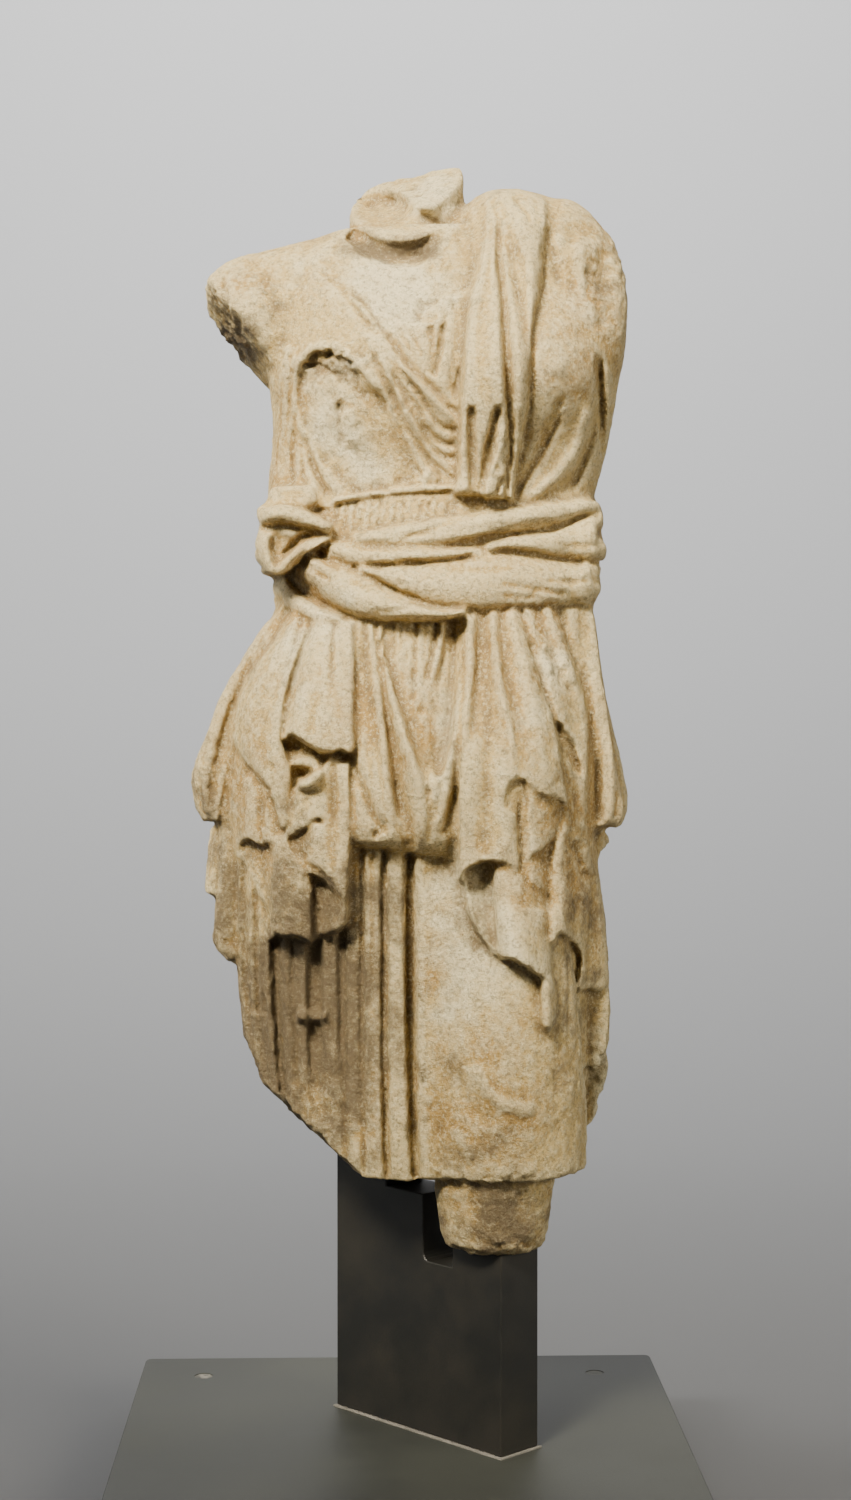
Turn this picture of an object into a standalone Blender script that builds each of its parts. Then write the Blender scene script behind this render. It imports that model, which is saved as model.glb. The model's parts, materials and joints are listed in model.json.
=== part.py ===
"""A broken marble figure of a woman in a short tunic, on a stepped stone support and a low base.

Metres, +Z up, origin at the middle of the base's underside. The figure is carved as a sculptor works from a
drawing: a block with the right outline and depth is roughed out first, and the folds are then cut into it
from a front drawing, whose lines are given in millimetres across and down the drawing.
"""
import math

import bmesh
import bpy
import numpy as np
from mathutils import Matrix, Vector

# Clearance that touching pieces keep
GAP = 0.0003

# Base slab
BASE_WIDTH = 0.56
BASE_DEPTH = 0.56
BASE_THICKNESS = 0.05
BASE_CORNER_RADIUS = 0.007
BASE_EDGE_BEVEL = 0.0012
HOLE_DIAMETER = 0.020
HOLE_RECESS = 0.008
HOLE_INSET = 0.068
FILLING_SINK = 0.0006

# Mortar bed under the support slab
MORTAR_THICKNESS = 0.0015
MORTAR_MARGIN = 0.0025

# Support slab: its wide side runs from the high end at the back to the low shelf at the front
SUPPORT_WIDTH = 0.237
SUPPORT_THICKNESS = 0.052
SUPPORT_CENTRE_X = 0.0317
SUPPORT_CENTRE_Y = 0.0285
SUPPORT_TURN = math.radians(-47.8)
SUPPORT_EDGE_BEVEL = 0.001
HIGH_END_WIDTH = 0.075
MIDDLE_STEP_WIDTH = 0.054
POCKET_WIDTH = 0.041
SHELF_HEIGHT = 0.195
POCKET_DROP = 0.023
MIDDLE_STEP_RISE = 0.043
HIGH_END_RISE = 0.082
POCKET_CORNER_RADIUS = 0.008

# Figure: from the broken end of the leg to the top of the broken neck
FIGURE_HEIGHT = 1.066
FIGURE_Y = 0.029
CARVING_STEP = 0.0045
FIGURE_TRIANGLES = 8600

# The front drawing stands upright through the figure's axis. Its numbers are millimetres of a figure that is
# DRAWN_HEIGHT tall, across from its left edge and down from its top edge. The eye looks through it squarely
# at the point (EYE_ACROSS, EYE_DOWN), from EYE_DISTANCE in front.
DRAWN_HEIGHT = 1.066
AXIS_ACROSS = 402.9
SEAT_DOWN = 1234.0
EYE_ACROSS = 357.0
EYE_DOWN = 702.0
EYE_DISTANCE = 2.330
MM = 0.001
EYE = np.array([(EYE_ACROSS - AXIS_ACROSS) * MM, -EYE_DISTANCE, (SEAT_DOWN - EYE_DOWN) * MM])

BASE_TOP = BASE_THICKNESS
MORTAR_BOTTOM = BASE_TOP + GAP
SUPPORT_BOTTOM = MORTAR_BOTTOM + MORTAR_THICKNESS + GAP
SHELF_TOP = SUPPORT_BOTTOM + SHELF_HEIGHT
SEAT_Z = SHELF_TOP + GAP


def clear_scene():
    for old in list(bpy.data.objects):
        bpy.data.objects.remove(old, do_unlink=True)


def stone(name, colour, roughness):
    material = bpy.data.materials.new(name)
    material.use_nodes = True
    shader = material.node_tree.nodes["Principled BSDF"]
    shader.inputs["Base Color"].default_value = (*colour, 1.0)
    shader.inputs["Roughness"].default_value = roughness
    shader.inputs["Metallic"].default_value = 0.0
    return material


def add_object(name, mesh, material):
    mesh.materials.clear()
    mesh.materials.append(material)
    thing = bpy.data.objects.new(name, mesh)
    bpy.context.scene.collection.objects.link(thing)
    return thing


def mesh_from(bm, name):
    bmesh.ops.recalc_face_normals(bm, faces=bm.faces)
    mesh = bpy.data.meshes.new(name)
    bm.to_mesh(mesh)
    bm.free()
    return mesh


def evaluated_copy(thing, name):
    bpy.context.view_layer.update()
    depsgraph = bpy.context.evaluated_depsgraph_get()
    return bpy.data.meshes.new_from_object(thing.evaluated_get(depsgraph), depsgraph=depsgraph)


# Blocking out: the figure's outline and depths

def curve_through(places, values, at):
    """A smooth curve through a few measured values."""
    places = np.asarray(places, float)
    values = np.asarray(values, float)
    slopes = np.gradient(values, places)
    at = np.clip(at, places[0], places[-1])
    span = np.clip(np.searchsorted(places, at, side="right") - 1, 0, len(places) - 2)
    width = places[span + 1] - places[span]
    t = (at - places[span]) / width
    return ((2 * t**3 - 3 * t**2 + 1) * values[span] + (t**3 - 2 * t**2 + t) * width * slopes[span]
            + (3 * t**2 - 2 * t**3) * values[span + 1] + (t**3 - t**2) * width * slopes[span + 1])


def loft(bm, rings):
    """Skin a stack of rings, each with the same number of points, and close its two ends."""
    loops = [[bm.verts.new(point) for point in ring] for ring in rings]
    count = len(loops[0])
    for lower, upper in zip(loops, loops[1:]):
        for i in range(count):
            j = (i + 1) % count
            bm.faces.new((lower[i], lower[j], upper[j], upper[i]))
    bm.faces.new(list(reversed(loops[0])))
    bm.faces.new(loops[-1])


def rounded(angle, squareness):
    """Cosine and sine of a rounded rectangle: squareness 2 is an ellipse."""
    power = 2.0 / squareness
    c, s = np.cos(angle), np.sin(angle)
    return np.sign(c) * np.abs(c)**power, np.sign(s) * np.abs(s)**power


RING_POINTS = 96
RING_ANGLES = np.arange(RING_POINTS) * 2 * math.pi / RING_POINTS

# Body from the shoulders to below the hem: height down the drawing, left edge, right edge, and how far the
# body reaches in front of and behind the drawing
BODY_STATIONS = [
    (238, 330, 600, 62, 84),
    (262, 292, 612, 84, 100),
    (300, 270, 621, 100, 112),
    (340, 268, 622, 112, 118),
    (375, 268, 619, 118, 120),
    (410, 273, 614, 114, 117),
    (450, 273, 607, 102, 110),
    (485, 268, 597, 96, 106),
    (520, 270, 590, 96, 106),
    (555, 276, 588, 98, 108),
    (590, 280, 588, 102, 112),
    (615, 274, 590, 108, 118),
    (645, 256, 592, 114, 128),
    (680, 240, 594, 120, 136),
    (720, 230, 598, 126, 142),
    (765, 226, 602, 130, 146),
    (800, 226, 602, 130, 147),
    (840, 231, 597, 128, 145),
    (880, 233, 594, 124, 142),
    (940, 234, 590, 120, 138),
    (985, 238, 588, 117, 133),
    (1045, 244, 586, 115, 126),
    (1080, 250, 584, 114, 121),
    (1130, 256, 581, 112, 114),
    (1180, 262, 572, 108, 106),
    (1215, 264, 570, 106, 100),
]
BODY_SQUARENESS = 2.35

# Yoke of both shoulders: place across the drawing, top edge, bottom edge, reach in front and behind
YOKE_STATIONS = [
    (207, 292, 312, 34, 38),
    (214, 281, 326, 46, 52),
    (230, 267, 352, 52, 60),
    (262, 257, 386, 60, 70),
    (300, 247, 404, 66, 82),
    (350, 238, 404, 66, 88),
    (405, 250, 404, 62, 88),
    (450, 224, 404, 70, 90),
    (480, 199, 404, 80, 92),
    (515, 194, 404, 84, 92),
    (550, 202, 404, 84, 90),
    (575, 207, 404, 80, 86),
    (596, 227, 404, 74, 80),
    (612, 250, 390, 64, 70),
    (621, 276, 370, 48, 54),
    (625, 300, 335, 20, 24),
]
YOKE_SQUARENESS = 2.3

# Break of the right arm: a place on it, how far behind the drawing that place is, and which way it faces
ARM_BREAK = (247, 338)
ARM_BREAK_DEPTH = -44.0
ARM_BREAK_OUTWARD = (-0.775, -0.20, -0.60)

# Neck, cut off by a slanting break that is low in front and high behind, and levelled at its peak
NECK_ACROSS = 407.0
NECK_HALF_WIDTH = 57.0
NECK_DEPTH = 6.0
NECK_HALF_DEPTH = 58.0
NECK_FOOT_DOWN = 300.0
NECK_TOP_DOWN = 130.0
NECK_BREAK_DOWN = 227.0
NECK_PEAK_DOWN = 170.0
NECK_BREAK_RISE = 0.60
NECK_BREAK_LEAN = 0.35

# Forward thigh under the skirt: height down the drawing, left edge, right edge, reach in front and behind
THIGH_STATIONS = [
    (900, 440, 556, 116, -40),
    (960, 428, 568, 124, -20),
    (1020, 420, 576, 130, 0),
    (1080, 414, 581, 134, 20),
    (1140, 410, 583, 137, 30),
    (1200, 408, 582, 138, 34),
]
THIGH_HEM_DOWN = 1158.0

# Stub of the left leg
LEG_X = 0.088
LEG_DEPTH = -64.0
LEG_TOP_RADIUS = 0.066
LEG_END_RADIUS = 0.0535
LEG_END_ROUND = 0.014
LEG_TOP_DOWN = 1120.0

# Cuts across the lower skirt, as lines on the drawing seen edge on
HEM_DOWN = 1161.0
CORNER_CUTS = (((242, 1034), (263, 1086)), ((257, 1078), (352, 1170)))

# Cloth and broken edges that stand outside the body: outline on the drawing, nearest and farthest depth
FREE_ENDS = [
    ([(294, 600), (245, 654), (217, 704), (198, 761), (198, 789), (213, 819), (230, 815), (256, 740),
      (304, 615)], -34, 66),
    ([(222, 805), (219, 859), (213, 941), (228, 960), (237, 960), (244, 810)], -30, 44),
    ([(580, 600), (590, 600), (601, 662), (614, 752), (616, 813), (600, 829), (580, 780)], -56, 60),
    ([(580, 815), (597, 822), (605, 908), (612, 1012), (606, 1062), (570, 1050)], -34, 84),
    ([(586, 1030), (608, 1044), (606, 1082), (594, 1124), (566, 1120), (560, 1030)], 6, 90),
    ([(263, 513), (282, 505), (321, 518), (334, 527), (296, 540), (271, 529)], -98, -22),
    ([(270, 527), (262, 556), (276, 577), (301, 557), (336, 534), (300, 526)], -92, -10),
    ([(272, 488), (268, 498), (290, 508), (318, 502), (314, 486)], -86, -20),
    ([(580, 500), (592, 501), (601, 550), (593, 580), (591, 601), (575, 603)], -60, 30),
]


def across_to_x(across):
    return (across - AXIS_ACROSS) * MM


def down_to_z(down):
    return (SEAT_DOWN - down) * MM


def body_block(bm):
    table = np.array(BODY_STATIONS, float)
    downs = np.arange(table[0, 0], table[-1, 0] + 1, 6.0)
    left, right, front, back = (curve_through(table[:, 0], table[:, k], downs) for k in (1, 2, 3, 4))
    c, s = rounded(RING_ANGLES, BODY_SQUARENESS)
    rings = []
    for i, down in enumerate(downs):
        middle = across_to_x((left[i] + right[i]) / 2)
        half = (right[i] - left[i]) / 2 * MM
        reach = np.where(s < 0, front[i], back[i]) * MM
        rings.append(np.column_stack((middle + half * c, reach * s, np.full(RING_POINTS, down_to_z(down)))))
    loft(bm, rings)
    cut_away(bm, (0.0, 0.0, down_to_z(HEM_DOWN)), (0.0, 0.0, -1.0))
    for line in CORNER_CUTS:
        cut_along(bm, line, -1)


def yoke_block(bm):
    table = np.array(YOKE_STATIONS, float)
    places = np.arange(table[0, 0], table[-1, 0] + 1, 6.0)
    top, bottom, front, back = (curve_through(table[:, 0], table[:, k], places) for k in (1, 2, 3, 4))
    c, s = rounded(RING_ANGLES, YOKE_SQUARENESS)
    rings = []
    for i, place in enumerate(places):
        middle = down_to_z((top[i] + bottom[i]) / 2)
        half = (bottom[i] - top[i]) / 2 * MM
        reach = np.where(s < 0, front[i], back[i]) * MM
        rings.append(np.column_stack((np.full(RING_POINTS, across_to_x(place)), reach * s, middle + half * c)))
    loft(bm, rings)
    across, down = ARM_BREAK
    cut_away(bm, (across_to_x(across), ARM_BREAK_DEPTH * MM, down_to_z(down)), ARM_BREAK_OUTWARD)


def cut_away(bm, point, outward):
    """Cut the block by a plane and cap the cut: what lies on the outward side goes."""
    parts = list(bm.verts) + list(bm.edges) + list(bm.faces)
    cut = bmesh.ops.bisect_plane(bm, geom=parts, plane_co=point, plane_no=Vector(outward).normalized(),
                                 clear_outer=True)
    edges = [piece for piece in cut["geom_cut"] if isinstance(piece, bmesh.types.BMEdge)]
    bmesh.ops.contextual_create(bm, geom=edges)


def cut_along(bm, line, outward_across):
    """Cut along a line of the drawing, straight back from the eye."""
    ends = [Vector((across_to_x(a), 0.0, down_to_z(d))) for a, d in line]
    eye = Vector(EYE)
    normal = (ends[0] - eye).cross(ends[1] - eye).normalized()
    if normal.x * outward_across < 0:
        normal = -normal
    cut_away(bm, ends[0], normal)


def neck_block(bm):
    rings = []
    for down in (NECK_FOOT_DOWN, NECK_TOP_DOWN):
        x = across_to_x(NECK_ACROSS) + NECK_HALF_WIDTH * MM * np.cos(RING_ANGLES)
        y = (NECK_DEPTH + NECK_HALF_DEPTH * np.sin(RING_ANGLES)) * MM
        rings.append(np.column_stack((x, y, np.full(RING_POINTS, down_to_z(down)))))
    loft(bm, rings)
    low_front = (across_to_x(NECK_ACROSS), (NECK_DEPTH - NECK_HALF_DEPTH) * MM, down_to_z(NECK_BREAK_DOWN))
    cut_away(bm, low_front, (-NECK_BREAK_LEAN, -NECK_BREAK_RISE, 1.0))
    cut_away(bm, (across_to_x(415), 0.0, down_to_z(NECK_PEAK_DOWN)), (-0.15, 0.0, 1.0))


def thigh_block(bm):
    table = np.array(THIGH_STATIONS, float)
    rings = []
    for down, left, right, front, back in table:
        x = across_to_x((left + right) / 2) + (right - left) / 2 * MM * np.cos(RING_ANGLES)
        y = ((back - front) / 2 + (back + front) / 2 * np.sin(RING_ANGLES)) * MM
        rings.append(np.column_stack((x, y, np.full(RING_POINTS, down_to_z(down)))))
    loft(bm, rings)
    cut_away(bm, (0.0, 0.0, down_to_z(THIGH_HEM_DOWN)), (0.0, 0.0, -1.0))


def leg_block(bm):
    rings = []
    for height, radius in ((0.0, LEG_END_RADIUS - LEG_END_ROUND), (LEG_END_ROUND * 0.35, LEG_END_RADIUS - 0.003),
                           (LEG_END_ROUND, LEG_END_RADIUS), (down_to_z(LEG_TOP_DOWN), LEG_TOP_RADIUS)):
        x = LEG_X + radius * np.cos(RING_ANGLES)
        y = LEG_DEPTH * MM + radius * np.sin(RING_ANGLES)
        rings.append(np.column_stack((x, y, np.full(RING_POINTS, height))))
    loft(bm, rings)


def free_end(bm, outline, near, far):
    """A thick slab with an outline of the drawing, whose edges run along the lines of sight."""
    rings = []
    for depth in (near, far):
        share = (EYE_DISTANCE + depth * MM) / EYE_DISTANCE
        rings.append([(EYE[0] + (across - EYE_ACROSS) * MM * share, depth * MM,
                       EYE[2] - (down - EYE_DOWN) * MM * share) for across, down in outline])
    loft(bm, rings)


def joined(blocks):
    """One mesh that holds several closed shells."""
    whole = bmesh.new()
    for block in blocks:
        bmesh.ops.recalc_face_normals(block, faces=block.faces)
        piece = bpy.data.meshes.new("block")
        block.to_mesh(piece)
        block.free()
        whole.from_mesh(piece)
        bpy.data.meshes.remove(piece)
    mesh = bpy.data.meshes.new("blocks")
    whole.to_mesh(mesh)
    whole.free()
    return mesh


def fused(mesh, step):
    """Melt overlapping shells into one skin of even small faces."""
    holder = bpy.data.objects.new("fusing", mesh)
    bpy.context.scene.collection.objects.link(holder)
    remesh = holder.modifiers.new("Remesh", "REMESH")
    remesh.mode = "VOXEL"
    remesh.voxel_size = step
    result = evaluated_copy(holder, "fused")
    bpy.data.objects.remove(holder, do_unlink=True)
    return result


def points_of(mesh):
    points = np.empty(len(mesh.vertices) * 3, np.float32)
    mesh.vertices.foreach_get("co", points)
    return points.reshape(-1, 3).astype(float)


def normals_of(mesh):
    normals = np.empty(len(mesh.vertices) * 3, np.float32)
    mesh.vertices.foreach_get("normal", normals)
    return normals.reshape(-1, 3).astype(float)


def put_points(mesh, points):
    mesh.vertices.foreach_set("co", points.astype(np.float32).ravel())
    mesh.update()


def softened(mesh, points, rounds, strength=0.5):
    """Even out a skin by moving each point towards the middle of its neighbours."""
    edges = np.empty(len(mesh.edges) * 2, np.int32)
    mesh.edges.foreach_get("vertices", edges)
    a, b = edges.reshape(-1, 2).T
    count = np.bincount(a, minlength=len(points)) + np.bincount(b, minlength=len(points))
    for _ in range(rounds):
        middle = np.empty_like(points)
        for k in range(3):
            middle[:, k] = (np.bincount(a, points[b, k], len(points))
                            + np.bincount(b, points[a, k], len(points)))
        points = points + strength * (middle / count[:, None] - points)
    return points


# The front drawing and what can be cut with it

def smoothstep(low, high, value):
    t = np.clip((value - low) / (high - low), 0.0, 1.0)
    return t * t * (3.0 - 2.0 * t)


def flowing(points, pieces=6):
    """A smooth line through a few points."""
    points = np.asarray(points, float)
    if len(points) < 3:
        return points
    ends = np.vstack((2 * points[0] - points[1], points, 2 * points[-1] - points[-2]))
    t = np.arange(pieces)[:, None] / pieces
    line = []
    for p, q, r, s in zip(ends, ends[1:], ends[2:], ends[3:]):
        line.append(0.5 * (2 * q + (r - p) * t + (2 * p - 5 * q + 4 * r - s) * t**2
                           + (3 * q - p - 3 * r + s) * t**3))
    return np.vstack(line + [points[-1:]])


class Drawing:
    """Relief, in millimetres towards the eye, summed at each point of the stone."""

    def __init__(self, across, down):
        self.across = across
        self.down = down
        self.rise = np.zeros(len(across))
        self.form = self.rise

    def near(self, line, reach):
        low, high = line.min(0) - reach, line.max(0) + reach
        return np.nonzero((self.across > low[0]) & (self.across < high[0])
                          & (self.down > low[1]) & (self.down < high[1]))[0]

    def measure(self, line, reach):
        """Which points are near a line, how far off, how far along (0 to 1) and on which side."""
        picked = self.near(line, reach)
        p = np.column_stack((self.across[picked], self.down[picked]))
        best = np.full(len(picked), 1e9)
        along = np.zeros(len(picked))
        side = np.ones(len(picked))
        lengths = np.hypot(*np.diff(line, axis=0).T)
        starts = np.concatenate(([0.0], np.cumsum(lengths)))
        for a, b, length, start in zip(line, line[1:], lengths, starts):
            d = b - a
            t = np.clip(((p - a) @ d) / max(length * length, 1e-9), 0.0, 1.0)
            off = p - (a + t[:, None] * d)
            distance = np.hypot(off[:, 0], off[:, 1])
            closer = distance < best
            best[closer] = distance[closer]
            along[closer] = (start + t[closer] * length) / starts[-1]
            side[closer] = np.sign(d[0] * off[closer, 1] - d[1] * off[closer, 0])
        return picked, best, along, side

    def crease(self, points, width, depth, fade=0.15):
        """A sharp-bottomed valley between two round folds."""
        picked, off, along, _ = self.measure(flowing(points), width)
        ends = smoothstep(0.0, fade, along) * smoothstep(0.0, fade, 1.0 - along) if fade else 1.0
        self.rise[picked] -= depth * ends * np.clip(1.0 - off / width, 0.0, 1.0)**1.6

    def slot(self, points, width, depth, fade=0.12):
        """A deep drilled channel with steep sides."""
        picked, off, along, _ = self.measure(flowing(points), width * 1.4)
        ends = smoothstep(0.0, fade, along) * smoothstep(0.0, fade, 1.0 - along) if fade else 1.0
        self.rise[picked] -= depth * ends * (1.0 - smoothstep(width * 0.35, width * 1.3, off))

    def ridge(self, points, width, height, fade=0.15):
        """A round fold that stands out."""
        picked, off, along, _ = self.measure(flowing(points), width)
        ends = smoothstep(0.0, fade, along) * smoothstep(0.0, fade, 1.0 - along) if fade else 1.0
        self.rise[picked] += height * ends * np.clip(1.0 - (off / width)**2, 0.0, 1.0)**1.3

    def strand(self, points, width, height, fade=0.06):
        """A round roll of cloth that lies over the plain body; where two meet, the higher one is seen."""
        picked, off, along, _ = self.measure(flowing(points), width)
        ends = smoothstep(0.0, fade, along) * smoothstep(0.0, fade, 1.0 - along)
        top = self.form[picked] + height * ends * np.clip(1.0 - (off / width)**2, 0.0, 1.0)**0.6
        self.rise[picked] = np.where(off < width, np.maximum(self.rise[picked], top), self.rise[picked])

    def panel(self, corners, height, edge=4.0, top=None):
        """A patch that stands out or lies back. With top, its rise runs from top to height downwards."""
        line = flowing(list(corners) + [corners[0]], 4)
        box = self.near(line, edge)
        x, y = self.across[box], self.down[box]
        inside = np.zeros(len(box), bool)
        for (ax, ay), (bx, by) in zip(line, line[1:]):
            if ay != by:
                inside ^= ((ay > y) != (by > y)) & (x < (bx - ax) * (y - ay) / (by - ay) + ax)
        _, off, _, _ = self.measure(line, edge)
        share = np.where(off < edge, smoothstep(-edge, edge, np.where(inside, off, -off)), inside)
        if top is not None:
            low, high = line[:, 1].min(), line[:, 1].max()
            height = top + (height - top) * np.clip((y - low) / (high - low), 0.0, 1.0)
        self.rise[box] += height * share

    def swell(self, centre, across_radius, down_radius, height, turn=0.0):
        """A round swelling, or a hollow where the height is negative."""
        c, s = math.cos(math.radians(turn)), math.sin(math.radians(turn))
        x, y = self.across - centre[0], self.down - centre[1]
        u = (x * c + y * s) / across_radius
        v = (y * c - x * s) / down_radius
        self.rise += height * np.clip(1.0 - u * u - v * v, 0.0, 1.0)**1.5


def draw_body_forms(sheet):
    """Breasts, belly, hips and the thigh that the cloth clings to."""
    sheet.swell((552, 366), 74, 82, 22)
    sheet.swell((322, 402), 62, 70, 8)
    sheet.swell((240, 320), 40, 60, 10)
    sheet.swell((420, 470), 90, 50, -8)
    sheet.swell((505, 1010), 100, 190, 22)
    sheet.swell((300, 1040), 90, 170, -12)
    sheet.swell((418, 760), 96, 120, 14)
    sheet.swell((300, 700), 60, 100, 8)
    sheet.swell((520, 730), 70, 130, 12)
    sheet.form = sheet.rise.copy()


def draw_neck(sheet):
    """Hollow in the break, the ridge beside it, and the shaft that lies back under the rim."""
    sheet.swell((382, 211), 36, 21, -42)
    sheet.ridge([(398, 188), (409, 201), (424, 208), (440, 214)], 9, 12)
    sheet.panel([(346, 226), (362, 238), (384, 246), (428, 244), (452, 236), (470, 222), (470, 242),
                 (436, 265), (386, 257), (350, 238)], -20, 6)


def draw_bodice(sheet):
    """Tunic over the chest, the broken breast and the mantle over the far shoulder."""
    sheet.panel([(318, 262), (346, 262), (440, 250), (468, 282), (430, 308), (404, 322), (376, 318), (348, 292)],
                -5, 5)
    sheet.crease([(315, 265), (346, 291), (376, 332)], 9, 6)
    sheet.crease([(355, 293), (382, 332), (420, 379), (438, 396)], 9, 5)
    sheet.panel([(300, 378), (318, 356), (340, 356), (368, 382), (392, 412), (416, 474), (362, 488), (334, 464),
                 (308, 434)], -13, 6)
    sheet.crease([(294, 340), (288, 410), (282, 490)], 9, 5)
    sheet.crease([(294, 407), (303, 446), (327, 493)], 8, 5)
    sheet.crease([(390, 362), (411, 397), (426, 425), (442, 484)], 10, 7)
    sheet.crease([(392, 363), (421, 407), (445, 436), (458, 432)], 8, 5)
    sheet.ridge([(390, 377), (414, 425), (438, 477)], 10, 4)
    sheet.panel([(484, 205), (530, 200), (548, 222), (545, 262), (536, 330), (528, 400), (518, 470), (506, 508),
                 (458, 512), (457, 440), (462, 360), (474, 290)], 12, 6)
    sheet.crease([(477, 197), (497, 236), (506, 344), (511, 468), (506, 504)], 11, 11)
    sheet.crease([(538, 221), (538, 298), (529, 385), (516, 468), (511, 501)], 11, 12)
    sheet.crease([(464, 298), (463, 344), (454, 400)], 10, 8)
    sheet.crease([(504, 249), (523, 313), (530, 382)], 9, 8)
    sheet.slot([(471, 405), (472, 442), (474, 511)], 6, 16)
    sheet.slot([(499, 406), (491, 429), (485, 468), (478, 510)], 6, 16)
    sheet.crease([(565, 411), (548, 448), (529, 478), (513, 499)], 11, 10)
    sheet.crease([(593, 391), (590, 429), (580, 461), (555, 497)], 10, 9)
    sheet.ridge([(592, 416), (580, 446), (555, 474), (522, 502)], 12, 7)
    sheet.crease([(602, 372), (604, 416), (602, 459)], 9, 10)


def draw_waist(sheet):
    """Cord belt, knot and the rolled mantle round the waist."""
    sheet.ridge([(333, 502), (364, 495), (400, 491), (456, 487)], 5, 5)
    for across in (344, 362, 378, 393, 409, 422, 436, 448):
        sheet.crease([(across + 2, 498), (across, 522)], 6, 4)
    sheet.strand([(604, 500), (560, 512), (505, 521), (455, 531), (410, 535), (350, 540)], 13, 16)
    sheet.strand([(606, 537), (575, 540), (530, 544), (485, 549)], 18, 18)
    sheet.strand([(318, 545), (340, 552), (375, 556), (445, 556), (484, 552)], 13, 20)
    sheet.strand([(608, 584), (570, 583), (487, 581), (400, 578), (354, 568)], 24, 24)
    sheet.strand([(276, 578), (290, 598), (312, 612), (342, 620)], 10, 22)
    sheet.strand([(296, 560), (322, 574), (356, 594), (400, 608), (468, 612)], 20, 30)
    sheet.strand([(264, 517), (285, 514), (308, 520), (332, 530)], 9, 12)
    sheet.strand([(268, 532), (264, 548), (270, 568), (300, 554), (334, 537)], 8, 14)
    sheet.crease([(357, 568), (429, 561), (487, 549), (527, 552), (551, 557), (592, 566)], 7, 10)
    sheet.crease([(355, 568), (390, 588), (429, 606), (452, 610)], 7, 8)
    sheet.crease([(442, 547), (505, 534), (551, 531), (592, 508)], 7, 10)


# Hanging cloths in the order they are laid on: outline, rise at the upper and at the lower edge
HANGING_CLOTHS = [
    ([(348, 616), (474, 616), (462, 800), (457, 855), (404, 852), (346, 846)], 0, 15),
    ([(232, 800), (263, 776), (284, 828), (276, 845), (239, 845)], 6, 14),
    ([(271, 838), (309, 840), (312, 941), (277, 934)], 18, 26),
    ([(312, 884), (347, 904), (336, 932), (312, 938)], 10, 16),
    ([(300, 780), (328, 752), (348, 752), (347, 904), (316, 868), (303, 832), (288, 836), (285, 828)], 18, 28),
    ([(292, 616), (262, 657), (239, 703), (236, 744), (264, 782), (284, 830), (292, 790), (285, 740),
      (306, 640)], 6, 22),
    ([(306, 616), (354, 616), (356, 700), (350, 753), (320, 751), (282, 740)], 6, 30),
    ([(517, 616), (600, 616), (614, 752), (612, 826), (596, 832), (606, 960), (588, 988), (578, 980),
      (573, 848), (552, 840), (556, 725)], 4, 16),
    ([(492, 860), (522, 864), (547, 887), (553, 984), (523, 966), (500, 956)], 22, 32),
    ([(542, 979), (554, 981), (556, 1022), (550, 1031), (541, 1005)], 16, 16),
    ([(522, 785), (566, 794), (554, 838), (547, 886), (524, 872)], 20, 28),
    ([(460, 616), (517, 616), (545, 696), (566, 800), (540, 794), (510, 783), (506, 800), (519, 820),
      (519, 869), (495, 861), (458, 877)], 2, 34),
]


def draw_overfold(sheet):
    """Blouse and hanging ends of the mantle, between the waist and the lower skirt."""
    for outline, top, bottom in HANGING_CLOTHS:
        sheet.panel(outline, bottom, 4, top)
    for foot_across, foot_down in ((252, 760), (266, 775), (296, 735), (312, 742), (332, 748)):
        top_across = 296 + (foot_across - 240) * 0.5
        middle = ((top_across + foot_across) / 2 + 4, 680)
        sheet.crease([(top_across, 616), middle, (foot_across, foot_down)], 9, 8)
    sheet.slot([(381, 683), (391, 741), (406, 816), (415, 845)], 5, 13)
    for line in ([(366, 693), (375, 782), (390, 832)], [(353, 749), (360, 791), (378, 837)],
                 [(379, 620), (400, 700), (429, 779)], [(474, 620), (463, 700), (440, 784)],
                 [(440, 625), (433, 658), (428, 683)], [(416, 622), (413, 672)], [(394, 625), (396, 660)]):
        sheet.crease(line, 9, 9)
    sheet.slot([(459, 782), (449, 807), (440, 854)], 5, 12)
    sheet.swell((571, 755), 14, 36, -14, 20)
    sheet.slot([(520, 790), (520, 868)], 4, 14)
    for line in ([(480, 616), (476, 683), (471, 756)], [(500, 616), (511, 690), (520, 756)],
                 [(534, 616), (560, 672), (577, 740)], [(556, 616), (586, 691), (591, 760)],
                 [(582, 640), (596, 700), (597, 780)]):
        sheet.crease(line, 9, 9)


def draw_lower_skirt(sheet):
    """Pleats beside the forward thigh, and the broken hem."""
    for line, width, depth in (
            ([(236, 862), (240, 960), (252, 1054)], 11, 10),
            ([(262, 907), (265, 1019), (276, 1085)], 11, 10),
            ([(275, 936), (279, 1030), (286, 1097)], 9, 10),
            ([(314, 940), (312, 1040), (311, 1123)], 12, 15),
            ([(342, 900), (341, 1041), (344, 1152)], 10, 10),
            ([(361, 851), (362, 974), (363, 1166)], 9, 10),
            ([(384, 853), (383, 996), (386, 1170)], 10, 13),
            ([(410, 853), (410, 996), (416, 1178)], 11, 18)):
        sheet.crease(line, width, depth, 0.03)
    sheet.crease([(594, 889), (597, 918), (603, 977)], 8, 9)
    sheet.ridge([(473, 1069), (501, 1105), (539, 1111)], 12, 4)


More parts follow.
